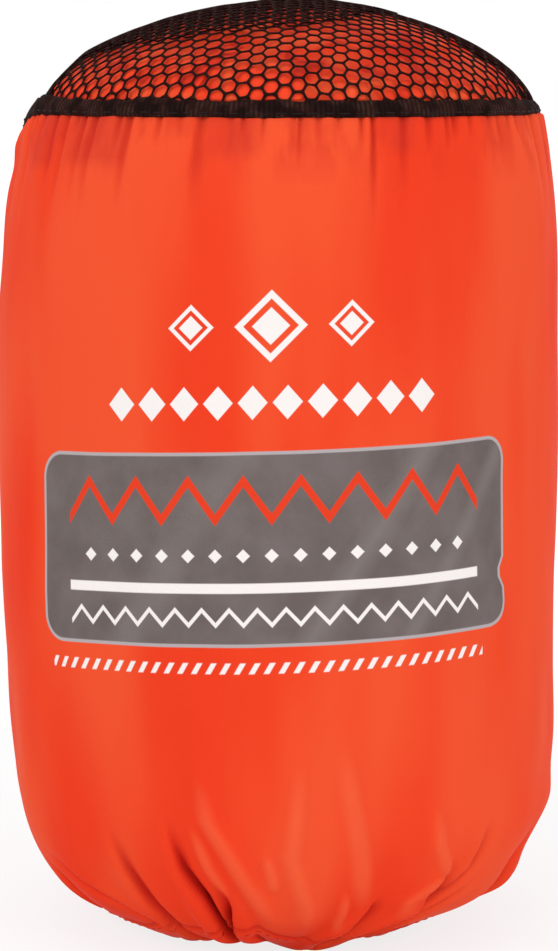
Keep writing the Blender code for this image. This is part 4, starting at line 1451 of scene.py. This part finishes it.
def make_rolled_vents():
    """The two vent tubes of the shelter, pressed flat and rolled up."""
    for number in (1, 2):
        node = f"vent_tube_{number}"
        low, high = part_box(node)
        middle = (low + high) / 2
        outer = (high.z - low.z) / 2 - 0.5 * MM
        share = np.linspace(0, 1, 190)
        radius = ROLL_START + (outer - ROLL_START) * share
        turn = CIRCLE * ((outer - ROLL_START) / ROLL_PITCH) * share + number
        x, angle = np.meshgrid(np.linspace(low.x + 0.4 * MM, high.x - 0.4 * MM, 44), turn)
        reach = radius[:, None] + wide_waves("rolled", np.degrees(angle), x, number)
        points = stacked(x, middle.y + reach * np.cos(angle), middle.z + reach * np.sin(angle))
        roll = join_grid(f"rolled_vent_{number}", points, ring=False)
        place_piece(roll, SHELTER_NYLON, "shelter_nylon", node)


def smooth_line(points, spacing):
    """Evenly spaced points on a Catmull-Rom curve through the route's own points."""
    knots = np.array(points, float)
    knots = np.concatenate([[2 * knots[0] - knots[1]], knots, [2 * knots[-1] - knots[-2]]])
    t = np.linspace(0, 1, 24, endpoint=False)[:, None]
    pieces = []
    for before, start, end, after in zip(knots, knots[1:], knots[2:], knots[3:]):
        bend = 2 * before - 5 * start + 4 * end - after
        twist = 3 * start - before - 3 * end + after
        pieces.append(0.5 * (2 * start + (end - before) * t + bend * t**2 + twist * t**3))
    line = np.concatenate([*pieces, knots[-2:-1]])
    along = distance_along(line)
    return at_distances(np.linspace(0, along[-1], max(2, int(along[-1] / spacing))), along, line)


def rings_round(middle, over, beside, sides):
    """Rings of points round a line, from two directions across it that are as long as its radii."""
    turn = circle(sides)[None, :, None]
    return middle[:, None] + np.cos(turn) * over[:, None] + np.sin(turn) * beside[:, None]


def tube_rings(line, radius, sides, relief=None, closed=False):
    """Rings of points round a line that don't twist. relief(turn, along) adds to the radius."""
    if closed:
        ahead = np.roll(line, -1, axis=0) - np.roll(line, 1, axis=0)
    else:
        ahead = np.gradient(line, axis=0)
    ahead = unit(ahead)
    side = np.cross(ahead[0], (0.3, 0.5, 0.8))
    turn = circle(sides)
    rings = []
    for place, direction, distance in zip(line, ahead, distance_along(line)):
        side = unit(side - direction * np.dot(side, direction))
        over = np.cross(direction, side)
        reach = radius + (relief(turn, distance) if relief else 0)
        reach = np.broadcast_to(reach, turn.shape)[:, None]
        rings.append(place + reach * (np.cos(turn)[:, None] * side + np.sin(turn)[:, None] * over))
    return np.array(rings)


def braid_relief(turn, along):
    """The plaited strands of a cord's cover."""
    lay = CIRCLE * along / (3.4 * MM)
    return 0.10 * MM * (np.sin(6 * turn + lay * 2) * np.sin(6 * turn - lay * 2) - 0.6)


def soft_end(ring, beyond, radius):
    """Two smaller rings that end a tube in a soft dome."""
    middle = ring.mean(axis=0)
    outward = unit(middle - beyond.mean(axis=0))
    return [middle + (ring - middle) * share + outward * radius * rise
            for share, rise in ((0.8, 0.35), (0.35, 0.6))]


def capped_tube(name, rings, radius):
    low, high = soft_end(rings[0], rings[1], radius), soft_end(rings[-1], rings[-2], radius)
    tube = join_grid(name, np.concatenate([low[::-1], rings, high]))
    close_ends(tube, rings.shape[1])
    return tube


# The drawcord. Its tails leave the hem at the back, turn up and run through the cord lock.
CORD = 2.8 * MM
HELD_CORD_HEIGHT = 2.3 * MM
HELD_CORD_START, HELD_CORD_STEPS = 50.0, 36
UPPER_TAIL = (
    (0.0096, 0.01505, 0.0025), (0.0069, 0.0154, 0.0032), (0.0045, 0.0143, 0.0046),
    (0.0029, 0.0120, 0.0066), (0.0018, 0.0090, 0.0088), (0.0009, 0.0058, 0.0107),
    (0.0003, 0.0024, 0.0120), (0.0, -0.0012, 0.0127), (0.0, -0.0050, 0.0129),
    (0.0, -0.0270, 0.0129),
)
LOWER_TAIL = (
    (-0.0096, 0.01505, 0.0024), (-0.0069, 0.0154, 0.0026), (-0.0045, 0.0143, 0.0033),
    (-0.0029, 0.0120, 0.0044), (-0.0018, 0.0090, 0.0059), (-0.0009, 0.0058, 0.0075),
    (-0.0003, 0.0024, 0.0088), (0.0, -0.0012, 0.0094), (0.0, -0.0050, 0.0095),
    (0.0, -0.0270, 0.0095),
)
TAIL_INTO_KNOT = 1.6 * MM
CORD_SPACING = 0.30 * MM
KNOT_STRAND, KNOT_END = 1.30 * MM, 1.25 * MM


def cord_route():
    """The drawcord's whole route, from the end of the upper tail to that of the lower one."""
    angle = np.linspace(HELD_CORD_START, -180 - HELD_CORD_START, HELD_CORD_STEPS + 1)
    held = round_sack(np.radians(angle), HELD_CORD_RADIUS, HELD_CORD_HEIGHT)
    ends = [(0, tail[-1][1] - TAIL_INTO_KNOT, tail[-1][2]) for tail in (UPPER_TAIL, LOWER_TAIL)]
    return [ends[0], *reversed(UPPER_TAIL), *held, *LOWER_TAIL, ends[1]]


def make_cord(name, route, radius, sides, node=None):
    rings = tube_rings(smooth_line(route, CORD_SPACING), radius, sides, braid_relief)
    place_piece(capped_tube(name, rings, radius), CORD_BRAID, "cord", node)


def make_knot():
    """The overhand knot that joins both tails, with its two short ends."""
    middle, size = np.array((KNOT_LOW + KNOT_HIGH) / 2), np.array(KNOT_HIGH - KNOT_LOW)
    turn = np.linspace(0, CIRCLE, 220, endpoint=False)
    across = (np.sin(turn) + 2 * np.sin(2 * turn)) / 2.6
    up = (np.cos(turn) - 2 * np.cos(2 * turn)) / 2.8
    line = middle + (size / 2 - KNOT_STRAND) * stacked(across, -np.sin(3 * turn), up)
    rings = tube_rings(line, KNOT_STRAND, 20, braid_relief, closed=True)
    knot = join_grid("knot_strand", rings, loop=True)
    place_piece(knot, CORD_BRAID, "cord", "tail_knot")
    x, y, z = middle
    for number, side in ((1, 1), (2, -1)):
        route = ((x + side * 0.6 * MM, y, z + side * 1.5 * MM),
                 (x + side * 1.4 * MM, KNOT_LOW.y - 0.2 * MM, z + side * 1.9 * MM),
                 (x + side * 2.6 * MM, KNOT_LOW.y - 3.4 * MM, z + side * 1.7 * MM))
        make_cord(f"cord_end_{number}", route, KNOT_END, 20)


# The cord lock, turned along X. Its sizes are those of its solids.
LOCK_PLACE = (BARREL_LOW.y + BARREL_HIGH.y) / 2
TAIL_HEIGHT = (BARREL_LOW.z + BARREL_HIGH.z) / 2
LOCK_RADIUS = (BARREL_HIGH.z - BARREL_LOW.z) / 2
PLUNGER_RADIUS = (PLUNGER_HIGH.z - PLUNGER_LOW.z) / 2
BORE_RADIUS = PLUNGER_RADIUS + 0.3 * MM
BARREL_FLOOR = BARREL_LOW.x + 1.2 * MM
AXIS_RADIUS = 0.05 * MM
CORD_HOLE_HALF = 1.7 * MM
CORD_HOLE_HEIGHT = UPPER_TAIL[-1][2] - LOWER_TAIL[-1][2] + 2 * CORD_HOLE_HALF
CORD_HOLE_SIDES = 40
# The way of both tails through the lock: mm along them, and how much it is widened there
CORD_HOLE_RINGS = ((-8, 2.0), (-6.4, 1.0), (-5.6, 0.4), (-4.9, 0.0),
                   (4.9, 0.0), (5.6, 0.4), (6.4, 1.0), (8, 2.0))
PRESS_TRAVEL = 3.0 * MM
SPRING_WIRE, SPRING_TURNS = 0.4 * MM, 5
EDGE_STEPS = 4


def round_lock(x, out, up):
    """Points round the lock's axis, from their distances out of it along Y and Z."""
    return stacked(x, LOCK_PLACE + out, TAIL_HEIGHT + up)


def rounded_profile(corners):
    """The closed profile through corners of (x, radius, rounding in mm), each rounded off."""
    line = []
    places = np.array([corner[:2] for corner in corners], float)
    for here, before, after, corner in zip(places, np.roll(places, 1, axis=0),
                                           np.roll(places, -1, axis=0), corners):
        before, after = before - here, after - here
        cut = min(corner[2] * MM, 0.45 * np.linalg.norm(before), 0.45 * np.linalg.norm(after))
        first, last = here + unit(before) * cut, here + unit(after) * cut
        for step in range(EDGE_STEPS + 1):
            t = step / EDGE_STEPS
            line.append((1 - t) ** 2 * first + 2 * t * (1 - t) * here + t * t * last)
    return line


def grooved(low, high, radius, count, depth, soft):
    """Corners of a row of grip grooves along a rod, from low to high."""
    pitch = (high - low) / count
    return [(low + pitch * number + share * pitch, radius - down, soft) for number in range(count)
            for share, down in ((0.30, 0), (0.45, depth), (0.75, depth), (0.90, 0))]


def make_turned(name, corners, cutter, node, body):
    """A turned plastic piece of the cord lock, with the way for the tails cut through it."""
    turn = circle(72)
    rows = [round_lock(x, radius * np.cos(turn), radius * np.sin(turn))
            for x, radius in rounded_profile(corners)[::-1]]
    obj = join_grid(name, np.array(rows), loop=True)
    modify(obj, "BOOLEAN", object=cutter, operation="DIFFERENCE", solver="EXACT")
    apply_modifiers(obj)
    bpy.data.objects.remove(cutter)
    obj.data.set_sharp_from_angle(angle=math.radians(38))
    place_piece(obj, LOCK_PLASTIC, "lock_plastic", node, body)


def cord_hole_cutter(name, low_x, high_x, flare):
    """The way through the cord lock for both tails, widened where it comes out."""
    middle, half = (low_x + high_x) / 2, (high_x - low_x) / 2
    turn = CIRCLE * (np.arange(CORD_HOLE_SIDES) + 0.5) / CORD_HOLE_SIDES
    x, z = squared_circle(turn, 0.35)
    rows = [round_lock(middle + (half + grow * flare) * x, y * MM,
                       (CORD_HOLE_HEIGHT / 2 + grow * flare) * z) for y, grow in CORD_HOLE_RINGS]
    cutter = join_grid(name, np.array(rows))
    close_ends(cutter, CORD_HOLE_SIDES)
    return cutter


def make_cord_lock():
    """Barrel, plunger with its button, and the coil spring between them."""
    low, high = BARREL_LOW.x, BARREL_HIGH.x
    collar = high - 2.2 * MM
    groove = LOCK_RADIUS - 0.4 * MM
    corners = [
        (BARREL_FLOOR, AXIS_RADIUS, 0), (low + 0.5 * MM, AXIS_RADIUS, 0), (low, 2.2 * MM, 0.4),
        (low, LOCK_RADIUS - 0.6 * MM, 0.6), (low + 0.9 * MM, LOCK_RADIUS, 0.6),
        *grooved(low + 1.4 * MM, -CORD_HOLE_HALF - 1.4 * MM, LOCK_RADIUS, 4, 0.45 * MM, 0.18),
        (collar - 0.5 * MM, LOCK_RADIUS, 0.2), (collar - 0.2 * MM, groove, 0.15),
        (collar, groove, 0.15), (collar + 0.3 * MM, LOCK_RADIUS, 0.2),
        (high, LOCK_RADIUS, 0.5), (high, BORE_RADIUS, 0.25), (BARREL_FLOOR, BORE_RADIUS, 0.2),
    ]
    cutter = cord_hole_cutter("barrel_way", -CORD_HOLE_HALF, CORD_HOLE_HALF, 0.45 * MM)
    make_turned("lock_barrel", corners, cutter, "cord_lock_barrel", "cord_lock")

    foot, top, radius = PLUNGER_LOW.x, PLUNGER_HIGH.x, PLUNGER_RADIUS
    dimple = top - 0.35 * MM
    corners = [
        (foot, AXIS_RADIUS, 0), (foot, radius, 0.4),
        *grooved(high + 0.5 * MM, top - 0.9 * MM, radius, 3, 0.35 * MM, 0.15),
        (top - 0.7 * MM, radius, 0.4), (top, radius - 0.9 * MM, 0.4), (top, 2.9 * MM, 0.12),
        (dimple, 2.6 * MM, 0.12), (dimple, 1.9 * MM, 0.12), (top, 1.6 * MM, 0.12),
        (top, AXIS_RADIUS, 0),
    ]
    cutter = cord_hole_cutter("plunger_way", -CORD_HOLE_HALF, CORD_HOLE_HALF + PRESS_TRAVEL,
                              0.12 * MM)
    make_turned("lock_plunger", corners, cutter, "cord_lock_plunger", "plunger")
    make_spring()


def make_spring():
    """A wire coil with its end turns closed up."""
    length = SPRING_HIGH.x - SPRING_LOW.x
    share = np.linspace(0, 1, 34 * SPRING_TURNS)
    turn = CIRCLE * SPRING_TURNS * share
    closed = 0.8 / SPRING_TURNS
    open_share = np.clip((share - closed) / (1 - 2 * closed), 0, 1)
    end_rise = SPRING_WIRE * 1.02 * SPRING_TURNS
    rise = np.minimum(share, closed) * end_rise + np.maximum(share - 1 + closed, 0) * end_rise
    free = length - SPRING_WIRE - 2 * closed * end_rise
    coil = PLUNGER_RADIUS - 2 * SPRING_WIRE
    line = round_lock(SPRING_LOW.x + SPRING_WIRE / 2 + rise + free * open_share,
                      coil * np.cos(turn), coil * np.sin(turn))
    spring = capped_tube("lock_spring", tube_rings(line, SPRING_WIRE / 2, 12), SPRING_WIRE / 2)
    place_piece(spring, SPRING_STEEL, "spring_steel", "cord_lock_spring", "cord_lock")
    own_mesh(spring)


STITCH_ROWS, STITCH_SIDES = 7, 6
# Stitches: length, gap and thickness of the thread, material and slot
CLOTH_STITCH = (2.3 * MM, 0.7 * MM, 0.16 * MM, SACK_THREAD, "sack_nylon")
TAPE_STITCH = (2.6 * MM, 0.8 * MM, 0.17 * MM, TAPE_THREAD, "binding_tape")


def stitch_row(name, line, outward, length, gap, thread, material, slot):
    """Stitches along a line, each a short rounded piece of thread pressed into the cloth."""
    along = distance_along(line)
    count = int(along[-1] / (length + gap))
    pitch = along[-1] / count
    share = np.linspace(0, 1, STITCH_ROWS)
    arch = np.sin(math.pi * share)
    thick = (thread * (0.45 + 0.55 * np.sqrt(arch)))[:, None]
    points, faces = [], []
    for number in range(count):
        at = pitch * number + gap / 2 + share * (pitch - gap)
        middle, away = at_distances(at, along, line), unit(at_distances(at, along, outward))
        beside = np.cross(unit(np.gradient(middle, axis=0)), away)
        middle = middle + away * (thread * (arch * 0.9 - 0.75))[:, None]
        base = len(points)
        rings = rings_round(middle, thick * beside, thick * away, STITCH_SIDES)
        points.extend(rings.reshape(-1, 3))
        ring = [base + side for side in range(STITCH_SIDES)]
        for row in range(STITCH_ROWS - 1):
            low = [point + row * STITCH_SIDES for point in ring]
            for a, b in zip(low, low[1:] + low[:1]):
                faces.append((a, b, b + STITCH_SIDES, a + STITCH_SIDES))
        faces.append(tuple(reversed(ring)))
        faces.append(tuple(point + (STITCH_ROWS - 1) * STITCH_SIDES for point in ring))
    place_piece(object_of(name, points, faces), material, slot)


def cloth_line(angle, along):
    """A line on the sack's cloth, and the direction that the cloth faces along it."""
    ahead = cloth_points(angle + 0.2, along) - cloth_points(angle - 0.2, along)
    up = cloth_points(angle, along + 0.2 * MM) - cloth_points(angle, along - 0.2 * MM)
    return cloth_points(angle, along), unit(np.cross(ahead, up))


def make_stitches():
    angle = np.linspace(90, 450, 1500)
    stitch_row("hem_stitches", *cloth_line(angle, hem_line(angle) - 1.5 * MM), *CLOTH_STITCH)
    up = np.linspace(24 * MM, CLOTH_LENGTH - 1 * MM, 500)
    for number, side in ((1, -1), (2, 1)):
        turn = np.degrees(side * 0.8 * MM / at_along(up)[0])
        stitch_row(f"back_stitches_{number}", *cloth_line(BACK + turn, up), *CLOTH_STITCH)
    line = binding_ring(angle, SEAM_RADIUS + 0.16 * MM, BINDING_LOW.z + 0.95 * MM)
    turn = np.radians(angle)
    outward = stacked(np.cos(turn), np.sin(turn), 0.1)
    stitch_row("binding_stitches", line, outward, *TAPE_STITCH)


# Camera, at the photograph's viewing angle
CAMERA_DISTANCE = 0.70
CAMERA_ELEVATION = math.radians(8.0)
CAMERA_AIM = Vector((-0.0003, 0.0, 0.1053))
LENS = 112.8
# Lamps: place, aim, width and height, and power
LAMPS = {
    "key": ((-1.10, -0.90, 0.80), (0, 0, 0.1), (0.6, 0.8), 5.1),
    "fill": ((1.15, -0.75, 0.22), (0, 0, 0.08), (0.9, 0.4), 4.2),
    "low": ((-0.35, -1.25, 0.10), (0, 0, 0.04), (0.8, 0.2), 1.3),
    "top": ((0.0, -0.15, 1.3), (0, 0, 0.1), (0.8, 0.8), 2.4),
}
WORLD_LIGHT = 0.66
FLOOR_GLOW = 1.06
SHADOW_SHARE, SHADOW_REACH, SHADOW_SOFT = 0.24, 0.34, 0.3


def aimed(obj, place, direction):
    assign(obj, location=place, rotation_mode="QUATERNION",
           rotation_quaternion=direction.to_track_quat("-Z", "Y"))


def make_camera():
    data = bpy.data.cameras.new("camera")
    assign(data, lens=LENS, sensor_width=36.0, clip_end=20.0)
    camera = add_object("camera", data)
    back = Vector((0, -math.cos(CAMERA_ELEVATION), math.sin(CAMERA_ELEVATION)))
    aimed(camera, CAMERA_AIM + back * CAMERA_DISTANCE, -back)
    bpy.context.scene.camera = camera


def make_lamps():
    for name, (place, aim, (width, height), power) in LAMPS.items():
        data = bpy.data.lights.new(name, "AREA")
        assign(data, shape="RECTANGLE", size=width, size_y=height, energy=power)
        aimed(add_object(name, data), place, Vector(aim) - Vector(place))


def seen_directly(tree):
    """1 for what the camera sees, also in gloss and through clear parts."""
    rays = add_node(tree, "LightPath")
    outputs = ("Is Camera Ray", "Is Glossy Ray", "Is Transmission Ray")
    camera, glossy, through = (Field(tree, rays.outputs[output]) for output in outputs)
    return camera.either(glossy).either(through)


def make_world():
    world = bpy.data.worlds.new("studio")
    bpy.context.scene.world = world
    world.use_nodes = True
    background = world.node_tree.nodes["Background"]
    background.inputs["Color"].default_value = (1, 1, 1, 1)
    strength = seen_directly(world.node_tree) * (1 - WORLD_LIGHT) + WORLD_LIGHT
    feed(world.node_tree, background.inputs["Strength"], strength)


def make_floor():
    """A white floor that keeps the shadow near the object and is plain white further away."""
    floor = object_of("floor", [(-3, -3, 0), (3, -3, 0), (3, 9, 0), (-3, 9, 0)], [[0, 1, 2, 3]])
    floor.location.z = -0.2 * MM
    material = Material("floor", (0.86, 0.86, 0.86), 0.9)
    tree = material.tree
    length = add_node(tree, "VectorMath", {0: material.place}, operation="LENGTH")
    plain = (Field(tree, length.outputs["Value"]) * -1).less(-SHADOW_REACH, SHADOW_SOFT)
    share = seen_directly(tree) * (plain * SHADOW_SHARE + (1 - SHADOW_SHARE))
    glow = add_node(tree, "Emission", {"Strength": FLOOR_GLOW})
    floor.data.materials.append(material.finish(0.0))
    inputs = {0: share, 1: material.shader.outputs[0], 2: glow.outputs[0]}
    mixed = add_node(tree, "MixShader", inputs)
    feed(tree, tree.nodes["Material Output"].inputs["Surface"], mixed.outputs[0])
    floor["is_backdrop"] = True


bpy.context.scene.view_settings.view_transform = "Standard"
make_camera()
make_world()
make_floor()
make_lamps()
skin = make_sack_skin()
make_sack_hem()
make_net()
make_pleats()
make_binding()
make_stitches()
make_roof()
make_packed_pads(skin_tree(skin))
make_folded_sheets()
make_rolled_vents()
make_cord("drawcord_braid", cord_route(), CORD / 2, 24, "drawcord")
make_knot()
make_cord_lock()

boxes = {"cad": CAD_BOX, "visual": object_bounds()}
{name: [list(corner) for corner in box] for name, box in boxes.items()}
